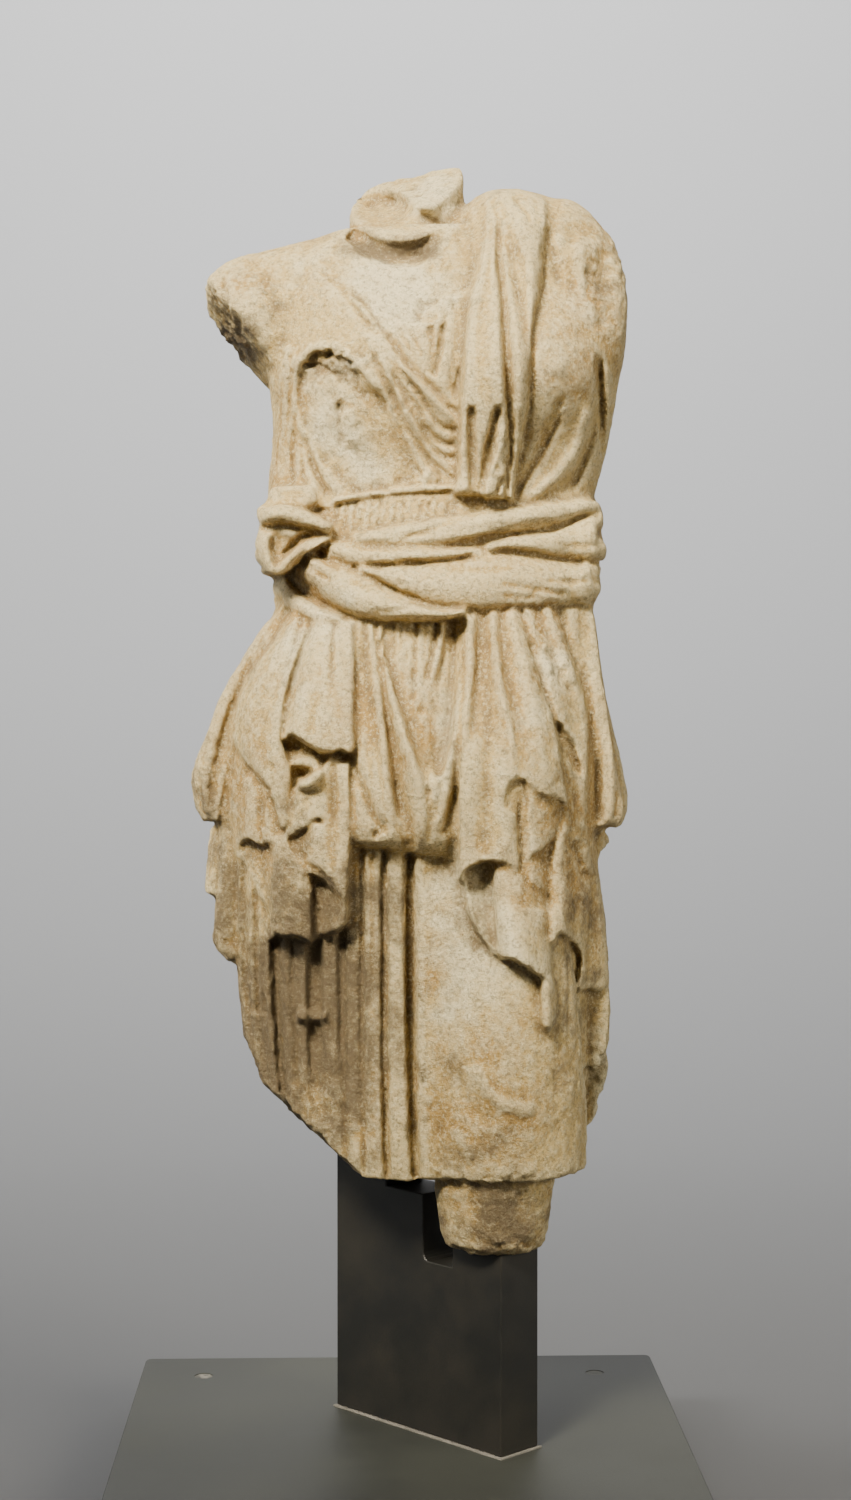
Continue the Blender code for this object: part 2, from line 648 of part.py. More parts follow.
def front_relief(points):
    """How far each point moves towards the eye, in metres."""
    share = EYE_DISTANCE / (points[:, 1] + EYE_DISTANCE)
    across = EYE_ACROSS + (points[:, 0] - EYE[0]) * share / MM
    down = EYE_DOWN + (EYE[2] - points[:, 2]) * share / MM
    sheet = Drawing(across, down)
    for draw in (draw_body_forms, draw_neck, draw_bodice, draw_overfold, draw_lower_skirt, draw_waist):
        draw(sheet)
    return sheet.rise * MM


# Sides and back, which are plainer: pleats that widen downwards, the waist rolls and a mantle band
SIDE_PLEATS = 22
PLEAT_DEPTH = 0.013
ROLL_HEIGHT = 0.007
BAND_HEIGHT = 0.010


def side_relief(points):
    angle = np.arctan2(points[:, 0], points[:, 1])
    down = SEAT_DOWN - points[:, 2] / MM
    turns = angle / (2 * math.pi) * SIDE_PLEATS + 0.35 * np.sin(down / 90.0 + 2.0 * angle)
    valley = np.abs((turns % 1.0) - 0.5) * 2.0
    grown = smoothstep(600.0, 1000.0, down)
    rise = -PLEAT_DEPTH * (0.3 + 0.7 * grown) * valley**2.2 * smoothstep(600.0, 660.0, down)
    for middle, half in ((522, 20), (556, 22), (592, 22)):
        off = (down - middle - 6.0 * np.sin(2.0 * angle + middle)) / half
        rise += ROLL_HEIGHT * np.clip(1.0 - off * off, 0.0, 1.0)**0.8
    hem = 868 + 18 * np.sin(3.0 * angle) + 9 * np.sin(7.0 * angle + 1.0)
    rise += 0.012 * smoothstep(hem - 160, hem - 20, down) * (1.0 - smoothstep(hem - 2, hem + 4, down))
    across = points[:, 0] / MM
    lean = across - 150 + (down - 200) * 0.62
    band = 1.0 - smoothstep(46, 54, np.abs(lean))
    above_waist = smoothstep(214, 250, down) * (1.0 - smoothstep(500, 516, down))
    rise += BAND_HEIGHT * band * above_waist
    for shift in (-30, -10, 12, 32):
        rise -= 0.008 * np.clip(1.0 - np.abs(lean - shift) / 10.0, 0.0, 1.0)**1.5 * above_waist
    return rise


def carve(points, normals):
    """Move the roughed-out skin: drawn folds on the front, plainer ones round the sides and back."""
    to_eye = EYE - points
    to_eye /= np.linalg.norm(to_eye, axis=1)[:, None]
    facing = np.einsum("ij,ij->i", normals, to_eye)
    front = smoothstep(0.02, 0.20, facing)
    level = 1.0 - smoothstep(0.55, 0.9, np.abs(normals[:, 2]))
    moved = points + to_eye * (front_relief(points) * front)[:, None]
    return moved + normals * (side_relief(points) * (1.0 - front) * level)[:, None]


def support_outline(clearance):
    """Side view of the support slab, grown by a clearance: along its width and up."""
    high = HIGH_END_WIDTH
    middle = high + MIDDLE_STEP_WIDTH
    pocket = middle + POCKET_WIDTH
    top_high = SHELF_HEIGHT + HIGH_END_RISE + clearance
    top_middle = SHELF_HEIGHT + MIDDLE_STEP_RISE + clearance
    top_shelf = SHELF_HEIGHT + clearance
    floor = SHELF_HEIGHT - POCKET_DROP + clearance
    outline = [(-clearance, -clearance), (SUPPORT_WIDTH + clearance, -clearance),
               (SUPPORT_WIDTH + clearance, top_shelf), (pocket - clearance, top_shelf),
               (pocket - clearance, floor)]
    radius = POCKET_CORNER_RADIUS - clearance
    corner_x, corner_z = middle + POCKET_CORNER_RADIUS, floor + radius
    for i in range(5):
        turn = math.radians(-90 - 22.5 * i)
        outline.append((corner_x + radius * math.cos(turn), corner_z + radius * math.sin(turn)))
    outline += [(middle + clearance, top_middle), (high + clearance, top_middle), (high + clearance, top_high),
                (-clearance, top_high)]
    return [(u - SUPPORT_WIDTH / 2, z) for u, z in outline]


def support_mesh(clearance, name):
    bm = bmesh.new()
    near = -SUPPORT_THICKNESS / 2 - clearance
    face = bm.faces.new([bm.verts.new((u, near, z)) for u, z in support_outline(clearance)])
    depth = SUPPORT_THICKNESS + 2 * clearance
    grown = bmesh.ops.extrude_face_region(bm, geom=[face])
    moved = [piece for piece in grown["geom"] if isinstance(piece, bmesh.types.BMVert)]
    bmesh.ops.translate(bm, verts=moved, vec=(0.0, depth, 0.0))
    return mesh_from(bm, name)


def place_support(thing):
    thing.location = (SUPPORT_CENTRE_X, SUPPORT_CENTRE_Y, SUPPORT_BOTTOM)
    thing.rotation_euler = (0.0, 0.0, SUPPORT_TURN)


def bevelled(thing, width):
    bevel = thing.modifiers.new("Bevel", "BEVEL")
    bevel.width = width
    bevel.segments = 1
    bevel.limit_method = "ANGLE"
    bevel.angle_limit = math.radians(40)


def make_support(material):
    support = add_object("support_slab", support_mesh(0.0, "support_slab"), material)
    place_support(support)
    bevelled(support, SUPPORT_EDGE_BEVEL)


def make_figure(material):
    blocks = []
    for build in (body_block, yoke_block, neck_block, thigh_block, leg_block):
        block = bmesh.new()
        build(block)
        blocks.append(block)
    for outline, near, far in FREE_ENDS:
        block = bmesh.new()
        free_end(block, outline, near, far)
        blocks.append(block)
    skin = fused(joined(blocks), CARVING_STEP)
    put_points(skin, softened(skin, points_of(skin), 4))
    put_points(skin, carve(points_of(skin), normals_of(skin)))
    skin = fused(skin, CARVING_STEP)
    points = softened(skin, points_of(skin), 2)
    put_points(skin, points * (FIGURE_HEIGHT / DRAWN_HEIGHT))

    figure = add_object("marble_figure", skin, material)
    figure.location = (0.0, FIGURE_Y, SEAT_Z)
    skin.calc_loop_triangles()
    fewer = figure.modifiers.new("Decimate", "DECIMATE")
    fewer.ratio = FIGURE_TRIANGLES / len(skin.loop_triangles)
    seat = add_object("support_seat", support_mesh(GAP, "support_seat"), material)
    place_support(seat)
    seat.hide_render = True
    seat.display_type = "WIRE"
    cut = figure.modifiers.new("Seat", "BOOLEAN")
    cut.operation = "DIFFERENCE"
    cut.solver = "EXACT"
    cut.object = seat


def box_mesh(width, depth, height, name):
    bm = bmesh.new()
    bmesh.ops.create_cube(bm, size=1.0, matrix=Matrix.Diagonal((width, depth, height, 1.0)))
    bmesh.ops.translate(bm, verts=bm.verts, vec=(0.0, 0.0, height / 2))
    return mesh_from(bm, name)


def disc_mesh(diameter, height, name):
    bm = bmesh.new()
    bmesh.ops.create_cone(bm, cap_ends=True, segments=28, radius1=diameter / 2, radius2=diameter / 2,
                          depth=height)
    bmesh.ops.translate(bm, verts=bm.verts, vec=(0.0, 0.0, height / 2))
    return mesh_from(bm, name)


def make_mortar(material):
    mesh = box_mesh(SUPPORT_WIDTH + 2 * MORTAR_MARGIN, SUPPORT_THICKNESS + 2 * MORTAR_MARGIN, MORTAR_THICKNESS,
                    "bedding_mortar")
    mortar = add_object("bedding_mortar", mesh, material)
    mortar.location = (SUPPORT_CENTRE_X, SUPPORT_CENTRE_Y, MORTAR_BOTTOM)
    mortar.rotation_euler = (0.0, 0.0, SUPPORT_TURN)


def hole_places():
    x = BASE_WIDTH / 2 - HOLE_INSET
    y = BASE_DEPTH / 2 - HOLE_INSET
    return {"front_left": (-x, -y), "front_right": (x, -y), "back_left": (-x, y), "back_right": (x, y)}


def make_base(material):
    bm = bmesh.new()
    bmesh.ops.create_cube(bm, size=1.0, matrix=Matrix.Diagonal((BASE_WIDTH, BASE_DEPTH, BASE_THICKNESS, 1.0)))
    bmesh.ops.translate(bm, verts=bm.verts, vec=(0.0, 0.0, BASE_THICKNESS / 2))
    upright = [e for e in bm.edges if abs(e.verts[0].co.z - e.verts[1].co.z) > BASE_THICKNESS / 2]
    bmesh.ops.bevel(bm, geom=upright, offset=BASE_CORNER_RADIUS, segments=4, profile=0.5, affect="EDGES")
    rim = [e for e in bm.edges if all(v.co.z > BASE_THICKNESS * 0.99 for v in e.verts)]
    bmesh.ops.bevel(bm, geom=rim, offset=BASE_EDGE_BEVEL, segments=1, affect="EDGES")
    base = add_object("base_slab", mesh_from(bm, "base_slab"), material)
    for corner, (x, y) in hole_places().items():
        drill = add_object("drill_" + corner, disc_mesh(HOLE_DIAMETER, HOLE_RECESS * 2, "drill"), material)
        drill.location = (x, y, BASE_TOP - HOLE_RECESS)
        drill.hide_render = True
        drill.display_type = "WIRE"
        cut = base.modifiers.new("Hole " + corner, "BOOLEAN")
        cut.operation = "DIFFERENCE"
        cut.solver = "EXACT"
        cut.object = drill


def make_fillings(material):
    height = HOLE_RECESS - GAP - FILLING_SINK
    for corner, (x, y) in hole_places().items():
        mesh = disc_mesh(HOLE_DIAMETER - 2 * GAP, height, "hole_filling_" + corner)
        filling = add_object("hole_filling_" + corner, mesh, material)
        filling.location = (x, y, BASE_TOP - HOLE_RECESS + GAP)


clear_scene()
make_figure(stone("weathered_marble", (0.64, 0.55, 0.40), 0.72))
make_support(stone("dark_support_stone", (0.045, 0.044, 0.038), 0.55))
make_mortar(stone("pale_mortar", (0.52, 0.47, 0.38), 0.85))
make_base(stone("olive_base_stone", (0.105, 0.105, 0.088), 0.5))
make_fillings(stone("hole_filler", (0.13, 0.13, 0.11), 0.7))
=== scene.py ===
# %% [markdown]
# Load the measured model
# The construction was made first, in another script. Here it comes in as a fixed frame, and
# everything below is placed from it. Its box is kept and printed.

# %% Load the frame
import json
import math

import bmesh
import bpy
import numpy as np
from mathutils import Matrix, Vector

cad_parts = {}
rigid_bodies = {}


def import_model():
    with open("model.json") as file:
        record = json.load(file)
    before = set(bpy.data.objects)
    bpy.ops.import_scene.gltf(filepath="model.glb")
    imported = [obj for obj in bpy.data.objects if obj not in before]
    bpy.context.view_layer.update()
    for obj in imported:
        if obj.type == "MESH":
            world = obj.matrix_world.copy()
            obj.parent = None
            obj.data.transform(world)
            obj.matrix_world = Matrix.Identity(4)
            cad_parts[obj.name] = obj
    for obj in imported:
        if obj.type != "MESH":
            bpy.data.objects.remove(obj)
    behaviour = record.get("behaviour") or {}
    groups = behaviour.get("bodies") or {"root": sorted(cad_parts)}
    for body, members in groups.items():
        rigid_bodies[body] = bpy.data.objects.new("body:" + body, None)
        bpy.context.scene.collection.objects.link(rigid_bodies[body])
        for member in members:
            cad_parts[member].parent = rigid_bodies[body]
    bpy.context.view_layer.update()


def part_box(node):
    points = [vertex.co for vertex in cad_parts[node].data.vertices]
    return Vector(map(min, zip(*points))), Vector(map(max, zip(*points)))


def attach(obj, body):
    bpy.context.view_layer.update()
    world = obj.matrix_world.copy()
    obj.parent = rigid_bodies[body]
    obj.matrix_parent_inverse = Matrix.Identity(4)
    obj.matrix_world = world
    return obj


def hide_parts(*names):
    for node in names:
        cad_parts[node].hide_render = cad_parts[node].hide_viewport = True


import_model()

FIGURE_LOW, FIGURE_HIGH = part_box("marble_figure")
print("figure from", [round(v, 4) for v in FIGURE_LOW], "to", [round(v, 4) for v in FIGURE_HIGH])

# %% [markdown]
# The camera
# The photograph was taken from a little left of the figure's middle and from the height of her hips, with
# the eye about 2.33 metres from her axis. One millimetre on an upright plane through that axis covers one
# pixel of the picture, which makes that plane a handy drawing board for the carving further down.

# %% Camera
MM = 0.001
AXIS_Y = 0.029
EYE = np.array([-0.0459, -2.301, 0.779])
EYE_DISTANCE = AXIS_Y - EYE[1]
EYE_ACROSS = 357.0
EYE_DOWN = 702.0
PICTURE_WIDTH = 851
PICTURE_HEIGHT = 1500
SENSOR = 36.0

camera_data = bpy.data.cameras.new("camera")
camera_data.sensor_fit = "AUTO"
camera_data.sensor_width = SENSOR
camera_data.lens = SENSOR * EYE_DISTANCE / MM / PICTURE_HEIGHT
camera = bpy.data.objects.new("camera", camera_data)
bpy.context.scene.collection.objects.link(camera)
camera.location = EYE
middle_across = (PICTURE_WIDTH / 2 - EYE_ACROSS) * MM
middle_down = (PICTURE_HEIGHT / 2 - EYE_DOWN) * MM
gaze = Vector((middle_across, EYE_DISTANCE, -middle_down))
camera.rotation_euler = gaze.to_track_quat("-Z", "Y").to_euler()
bpy.context.scene.camera = camera
print("lens", round(camera_data.lens, 2), "mm")

# %% [markdown]
# Blocking out the figure
# A sculptor starts from a squared block and knocks off whatever lies outside the figure's outline. Here a
# plain cylinder takes that place: it gets many rings, and each ring is pushed out to the body's left and
# right edge, to its front and to its back. A second cylinder, lying down, makes the two shoulders, and
# smaller ones make the neck and the stub of the leg.

# %% Where the drawing board stands
AXIS_ACROSS = 402.9
SEAT_DOWN = 1234.0
SEAT_Z = FIGURE_LOW[2]
RING_POINTS = 96


def across_to_x(across):
    return (across - AXIS_ACROSS) * MM


def down_to_z(down):
    return SEAT_Z + (SEAT_DOWN - down) * MM


def depth_to_y(depth):
    """Depth counts from the drawing board, in millimetres, away from the eye."""
    return AXIS_Y + depth * MM


def curve_through(places, values, at):
    """A smooth curve through a few measured values."""
    slopes = np.gradient(values, places)
    at = np.clip(at, places[0], places[-1])
    span = np.clip(np.searchsorted(places, at, side="right") - 1, 0, len(places) - 2)
    width = places[span + 1] - places[span]
    t = (at - places[span]) / width
    return ((2 * t**3 - 3 * t**2 + 1) * values[span] + (t**3 - 2 * t**2 + t) * width * slopes[span]
            + (3 * t**2 - 2 * t**3) * values[span + 1] + (t**3 - t**2) * width * slopes[span + 1])


def deselect():
    bpy.ops.object.select_all(action="DESELECT")


def points_of(piece):
    points = np.empty(len(piece.data.vertices) * 3, np.float32)
    piece.data.vertices.foreach_get("co", points)
    return points.reshape(-1, 3).astype(float)


def normals_of(piece):
    normals = np.empty(len(piece.data.vertices) * 3, np.float32)
    piece.data.vertices.foreach_get("normal", normals)
    return normals.reshape(-1, 3).astype(float)


def put_points(piece, points):
    piece.data.vertices.foreach_set("co", points.astype(np.float32).ravel())
    piece.data.update()


def ringed_cylinder(name, rings):
    """A cylinder one unit round and one unit high, with extra rings, ready to be pushed into shape."""
    deselect()
    bpy.ops.mesh.primitive_cylinder_add(vertices=RING_POINTS, radius=1.0, depth=1.0)
    piece = bpy.context.object
    piece.name = name
    if rings:
        bpy.context.tool_settings.mesh_select_mode = (False, True, False)
        bpy.ops.object.mode_set(mode="EDIT")
        bpy.ops.mesh.select_all(action="DESELECT")
        bpy.ops.object.mode_set(mode="OBJECT")
        for edge in piece.data.edges:
            a, b = (piece.data.vertices[i].co.z for i in edge.vertices)
            edge.select = abs(a - b) > 0.5
        bpy.ops.object.mode_set(mode="EDIT")
        bpy.ops.mesh.subdivide(number_cuts=rings)
        bpy.ops.object.mode_set(mode="OBJECT")
    return piece


def rounded(points, squareness):
    """Cosine and sine of each point's place round a rounded rectangle: squareness 2 is an ellipse."""
    power = 2.0 / squareness
    length = np.hypot(points[:, 0], points[:, 1])
    c, s = points[:, 0] / length, points[:, 1] / length
    return np.sign(c) * np.abs(c)**power, np.sign(s) * np.abs(s)**power


def tell_size(piece):
    width, depth, height = np.ptp(points_of(piece), axis=0) / MM
    print(f"{piece.name}: {width:.0f} x {depth:.0f} x {height:.0f} mm")


def between_stations(points, stations, foot, head):
    """Where each ring lies between the foot and head stations, and the block's four edges there."""
    places = stations[:, 0]
    at = places[foot] + (points[:, 2] + 0.5) * (places[head] - places[foot])
    return at, *(curve_through(places, stations[:, k], at) for k in (1, 2, 3, 4))


# %% Body
BODY_STATIONS = np.array([
    # down, left, right, front, back
    (238, 330, 600, 62, 84),
    (262, 292, 612, 84, 100),
    (300, 270, 621, 100, 112),
    (340, 268, 622, 112, 118),
    (375, 268, 619, 118, 120),
    (410, 273, 614, 114, 117),
    (450, 273, 607, 102, 110),
    (485, 268, 597, 96, 106),
    (520, 270, 590, 96, 106),
    (555, 276, 588, 98, 108),
    (590, 280, 588, 102, 112),
    (615, 274, 590, 108, 118),
    (645, 256, 592, 114, 128),
    (680, 240, 594, 120, 136),
    (720, 230, 598, 126, 142),
    (765, 226, 602, 130, 146),
    (800, 226, 602, 130, 147),
    (840, 231, 597, 128, 145),
    (880, 233, 594, 124, 142),
    (940, 234, 590, 120, 138),
    (985, 238, 588, 117, 133),
    (1045, 244, 586, 115, 126),
    (1080, 250, 584, 114, 121),
    (1130, 256, 581, 112, 114),
    (1180, 262, 572, 108, 106),
    (1215, 264, 570, 106, 100),
], float)
BODY_SQUARENESS = 2.35


def make_body():
    body = ringed_cylinder("body", 160)
    points = points_of(body)
    at, left, right, front, back = between_stations(points, BODY_STATIONS, -1, 0)
    c, s = rounded(points, BODY_SQUARENESS)
    points[:, 0] = across_to_x((left + right) / 2 + (right - left) / 2 * c)
    points[:, 1] = depth_to_y(np.where(s < 0, front, back) * s)
    points[:, 2] = down_to_z(at)
    put_points(body, points)
    return body


body = make_body()
tell_size(body)

# %% [markdown]
# Shoulders
# The shoulders run across, so their cylinder lies on its side and its rings are set by their top, bottom,
# front and back. The right arm is broken off below its shoulder: a plane cut will make that break.

# %% Shoulders
YOKE_STATIONS = np.array([
    # across, top, bottom, front, back
    (207, 292, 312, 34, 38),
    (214, 281, 326, 46, 52),
    (230, 267, 352, 52, 60),
    (262, 257, 386, 60, 70),
    (300, 247, 404, 66, 82),
    (350, 238, 404, 66, 88),
    (405, 250, 404, 62, 88),
    (450, 224, 404, 70, 90),
    (480, 199, 404, 80, 92),
    (515, 194, 404, 84, 92),
    (550, 202, 404, 84, 90),
    (575, 207, 404, 80, 86),
    (596, 227, 404, 74, 80),
    (612, 250, 390, 64, 70),
    (621, 276, 370, 48, 54),
    (625, 300, 335, 20, 24),
], float)
YOKE_SQUARENESS = 2.3


def make_yoke():
    yoke = ringed_cylinder("yoke", 90)
    points = points_of(yoke)
    at, top, bottom, front, back = between_stations(points, YOKE_STATIONS, 0, -1)
    c, s = rounded(points, YOKE_SQUARENESS)
    points[:, 0] = across_to_x(at)
    points[:, 1] = depth_to_y(np.where(s < 0, front, back) * s)
    points[:, 2] = down_to_z((top + bottom) / 2 - (bottom - top) / 2 * c)
    put_points(yoke, points)
    return yoke


yoke = make_yoke()
tell_size(yoke)

# %% [markdown]
# Cuts
# Breaks and straight hems are made with Bisect, which cuts a mesh by a plane, drops one side and closes the
# hole. A cut can also follow a line of the drawing, by laying the plane through that line and the eye.

# %% Cuts through a block
HEM_DOWN = 1161.0
CORNER_CUTS = (((242, 1034), (263, 1086)), ((257, 1078), (352, 1170)))
ARM_BREAK = (247, 338)
ARM_BREAK_DEPTH = -44.0
ARM_BREAK_OUTWARD = (-0.775, -0.20, -0.60)


def cut_away(piece, point, outward):
    """Cut a block by a plane and cap it: what lies on the outward side goes."""
    deselect()
    piece.select_set(True)
    bpy.context.view_layer.objects.active = piece
    bpy.ops.object.mode_set(mode="EDIT")
    bpy.ops.mesh.select_all(action="SELECT")
    bpy.ops.mesh.bisect(plane_co=point, plane_no=outward, use_fill=True, clear_outer=True)
    bpy.ops.object.mode_set(mode="OBJECT")


def cut_along(piece, line, outward_across):
    """Cut along a line of the drawing, straight back from the eye."""
    ends = [Vector((across_to_x(a), AXIS_Y, down_to_z(d))) for a, d in line]
    eye = Vector(EYE)
    normal = (ends[0] - eye).cross(ends[1] - eye).normalized()
    if normal.x * outward_across < 0:
        normal = -normal
    cut_away(piece, ends[0], normal)


cut_away(body, (0.0, AXIS_Y, down_to_z(HEM_DOWN)), (0.0, 0.0, -1.0))
for line in CORNER_CUTS:
    cut_along(body, line, -1)
arm_break = (across_to_x(ARM_BREAK[0]), depth_to_y(ARM_BREAK_DEPTH), down_to_z(ARM_BREAK[1]))
cut_away(yoke, arm_break, ARM_BREAK_OUTWARD)
tell_size(body)
tell_size(yoke)

# %% [markdown]
# Neck, thigh and leg stub
# The neck is a short upright drum with two slanting cuts: one rises from its front to its back, and the
# other trims the lump that was left standing. The thigh pushes the skirt forward, and the stub below the
# hem is a tapering drum with a rounded end, which is what the statue stands on.

# %% Neck
NECK_ACROSS = 407.0
NECK_HALF_WIDTH = 57.0
NECK_DEPTH = 6.0
NECK_HALF_DEPTH = 58.0
NECK_FOOT_DOWN = 300.0
NECK_TOP_DOWN = 130.0
NECK_BREAK_DOWN = 227.0
NECK_PEAK_ACROSS = 415.0
NECK_PEAK_DOWN = 170.0
NECK_PEAK_LEAN = 0.15
NECK_BREAK_RISE = 0.60
NECK_BREAK_LEAN = 0.35


def make_neck():
    neck = ringed_cylinder("neck", 0)
    points = points_of(neck)
    points[:, 0] = across_to_x(NECK_ACROSS + NECK_HALF_WIDTH * points[:, 0])
    points[:, 1] = depth_to_y(NECK_DEPTH + NECK_HALF_DEPTH * points[:, 1])
    points[:, 2] = down_to_z(np.where(points[:, 2] > 0, NECK_TOP_DOWN, NECK_FOOT_DOWN))
    put_points(neck, points)
    low_front = (across_to_x(NECK_ACROSS), depth_to_y(NECK_DEPTH - NECK_HALF_DEPTH), down_to_z(NECK_BREAK_DOWN))
    cut_away(neck, low_front, (-NECK_BREAK_LEAN, -NECK_BREAK_RISE, 1.0))
    peak = (across_to_x(NECK_PEAK_ACROSS), AXIS_Y, down_to_z(NECK_PEAK_DOWN))
    cut_away(neck, peak, (-NECK_PEAK_LEAN, 0.0, 1.0))
    return neck


neck = make_neck()
tell_size(neck)

# %% Forward thigh
THIGH_STATIONS = np.array([
    # down, left, right, front, back
    (900, 440, 556, 116, -40),
    (960, 428, 568, 124, -20),
    (1020, 420, 576, 130, 0),
    (1080, 414, 581, 134, 20),
    (1140, 410, 583, 137, 30),
    (1200, 408, 582, 138, 34),
], float)
THIGH_SQUARENESS = 2.0
THIGH_HEM_DOWN = 1158.0


def make_thigh():
    thigh = ringed_cylinder("thigh", 40)
    points = points_of(thigh)
    at, left, right, front, back = between_stations(points, THIGH_STATIONS, -1, 0)
    c, s = rounded(points, THIGH_SQUARENESS)
    points[:, 0] = across_to_x((left + right) / 2 + (right - left) / 2 * c)
    points[:, 1] = depth_to_y((back - front) / 2 + (back + front) / 2 * s)
    points[:, 2] = down_to_z(at)
    put_points(thigh, points)
    cut_away(thigh, (0.0, AXIS_Y, down_to_z(THIGH_HEM_DOWN)), (0.0, 0.0, -1.0))
    return thigh


thigh = make_thigh()
tell_size(thigh)

# %% Stub of the leg
LEG_X = 0.088
LEG_DEPTH = -64.0
LEG_TOP_RADIUS = 0.066
LEG_END_RADIUS = 0.0535
LEG_END_ROUND = 0.014
LEG_TOP_DOWN = 1120.0


def make_leg():
    leg = ringed_cylinder("leg", 2)
    points = points_of(leg)
    level = np.rint((points[:, 2] + 0.5) * 3).astype(int)
    heights = np.array([0.0, LEG_END_ROUND * 0.35, LEG_END_ROUND, (SEAT_DOWN - LEG_TOP_DOWN) * MM])
    radii = np.array([LEG_END_RADIUS - LEG_END_ROUND, LEG_END_RADIUS - 0.003, LEG_END_RADIUS, LEG_TOP_RADIUS])
    points[:, 0] = LEG_X + points[:, 0] * radii[level]
    points[:, 1] = depth_to_y(LEG_DEPTH) + points[:, 1] * radii[level]
    points[:, 2] = SEAT_Z + heights[level]
    put_points(leg, points)
    return leg


leg = make_leg()
tell_size(leg)

# %% [markdown]
# Ends that hang free
# Some flaps of cloth and broken edges stand outside the body's even outline. Each is drawn as a short
# outline on the board and pushed back from the eye as a thick slab, so that it keeps its drawn shape in the
# picture and still is a real, thick piece of stone from the side.

# %% Free-hanging slabs
def make_slab(name, outline, near, far):
    """A slab between two depths, whose edges run along the lines of sight."""
    count = len(outline)
    corners = []
    for depth in (near, far):
        share = (EYE_DISTANCE + depth * MM) / EYE_DISTANCE
        for across, down in outline:
            x = EYE[0] + (across - EYE_ACROSS) * MM * share
            z = EYE[2] - (down - EYE_DOWN) * MM * share
            corners.append((x, depth_to_y(depth), z))
    faces = [tuple(range(count)), tuple(range(2 * count - 1, count - 1, -1))]
    faces += [((i + 1) % count, i, i + count, (i + 1) % count + count) for i in range(count)]
    mesh = bpy.data.meshes.new(name)
    mesh.from_pydata(corners, [], faces)
    bm = bmesh.new()
    bm.from_mesh(mesh)
    bmesh.ops.recalc_face_normals(bm, faces=bm.faces)
    bm.to_mesh(mesh)
    bm.free()
    slab = bpy.data.objects.new(name, mesh)
    bpy.context.scene.collection.objects.link(slab)
    return slab


FREE_SLABS = {
    "far_left_flap": ([(294, 600), (266, 624), (245, 654), (228, 682), (217, 704), (207, 734), (198, 761),
                       (195, 775), (198, 789), (205, 806), (213, 819), (222, 822), (230, 815), (238, 790),
                       (256, 740), (276, 680), (304, 615)], -34, 66),
    "outer_left_tail": ([(222, 805), (219, 859), (215, 906), (213, 941), (218, 950), (228, 960), (237, 960),
                         (240, 880), (244, 810)], -30, 44),
    "right_fold": ([(580, 600), (590, 600), (597, 627), (601, 662), (608, 707), (614, 752), (618, 793),
                    (616, 813), (609, 823), (600, 829), (592, 825), (580, 780), (566, 680)], -56, 60),
    "right_back_skirt": ([(580, 815), (597, 822), (599, 868), (605, 908), (609, 950), (610, 985), (612, 1012),
                          (610, 1042), (606, 1062), (594, 1070), (570, 1050), (566, 860)], -34, 84),
    "right_broken_foot": ([(586, 1030), (608, 1044), (609, 1062), (606, 1082), (600, 1096), (598, 1114),
                           (594, 1124), (583, 1131), (566, 1120), (560, 1030)], 6, 90),
    "knot_top": ([(263, 513), (269, 507), (282, 505), (301, 509), (321, 518), (334, 527), (322, 540),
                  (296, 540), (271, 529)], -98, -22),
    "knot_loop": ([(270, 527), (263, 541), (262, 556), (268, 571), (276, 577), (288, 571), (301, 557),
                   (322, 545), (336, 534), (300, 526)], -92, -10),
    "side_lip": ([(272, 488), (268, 498), (272, 506), (290, 508), (308, 508), (318, 502), (314, 486)], -86, -20),
    "waist_end": ([(580, 500), (592, 501), (596, 513), (597, 535), (601, 550), (598, 558), (588, 561),
                   (593, 568), (593, 580), (595, 587), (591, 601), (575, 603), (570, 500)], -60, 30),
}
slabs = [make_slab(name, outline, near, far) for name, (outline, near, far) in FREE_SLABS.items()]
for slab in slabs:
    tell_size(slab)

# %% [markdown]
# One skin round all blocks
# The blocks overlap. The voxel Remesh modifier melts them into one skin of small even faces, which is what
# carving needs: enough points everywhere, and no seams.

# %% Fuse the blocks
CARVING_STEP = 0.0028
FINISHING_STEP = 0.0021


def fuse(piece, step):
    deselect()
    piece.select_set(True)
    bpy.context.view_layer.objects.active = piece
    remesh = piece.modifiers.new("Remesh", "REMESH")
    remesh.mode = "VOXEL"
    remesh.voxel_size = step
    bpy.ops.object.modifier_apply(modifier=remesh.name)


def soften(piece, rounds, strength=0.5):
    """Even out a skin by moving each point towards the middle of its neighbours."""
    points = points_of(piece)
    edges = np.empty(len(piece.data.edges) * 2, np.int32)
    piece.data.edges.foreach_get("vertices", edges)
    a, b = edges.reshape(-1, 2).T
    count = np.bincount(a, minlength=len(points)) + np.bincount(b, minlength=len(points))
    for _ in range(rounds):
        middle = np.empty_like(points)
        for k in range(3):
            middle[:, k] = (np.bincount(a, points[b, k], len(points))
                            + np.bincount(b, points[a, k], len(points)))
        points = points + strength * (middle / count[:, None] - points)
    return points


deselect()
for block in [body, yoke, neck, thigh, leg] + slabs:
    block.select_set(True)
bpy.context.view_layer.objects.active = body
bpy.ops.object.join()
figure = body
figure.name = "carved_figure"
fuse(figure, CARVING_STEP)
put_points(figure, soften(figure, 5))
print("skin of the block:", len(figure.data.vertices), "points")

# %% [markdown]
# Tools for the carving
# The folds are cut from a drawing. Each stroke says where it runs on the board, how wide it is and how
# deep. For every point of the skin the strokes are added up to one rise towards the eye, so the drawing
# stays where it is in the picture while the stone gains real depth.

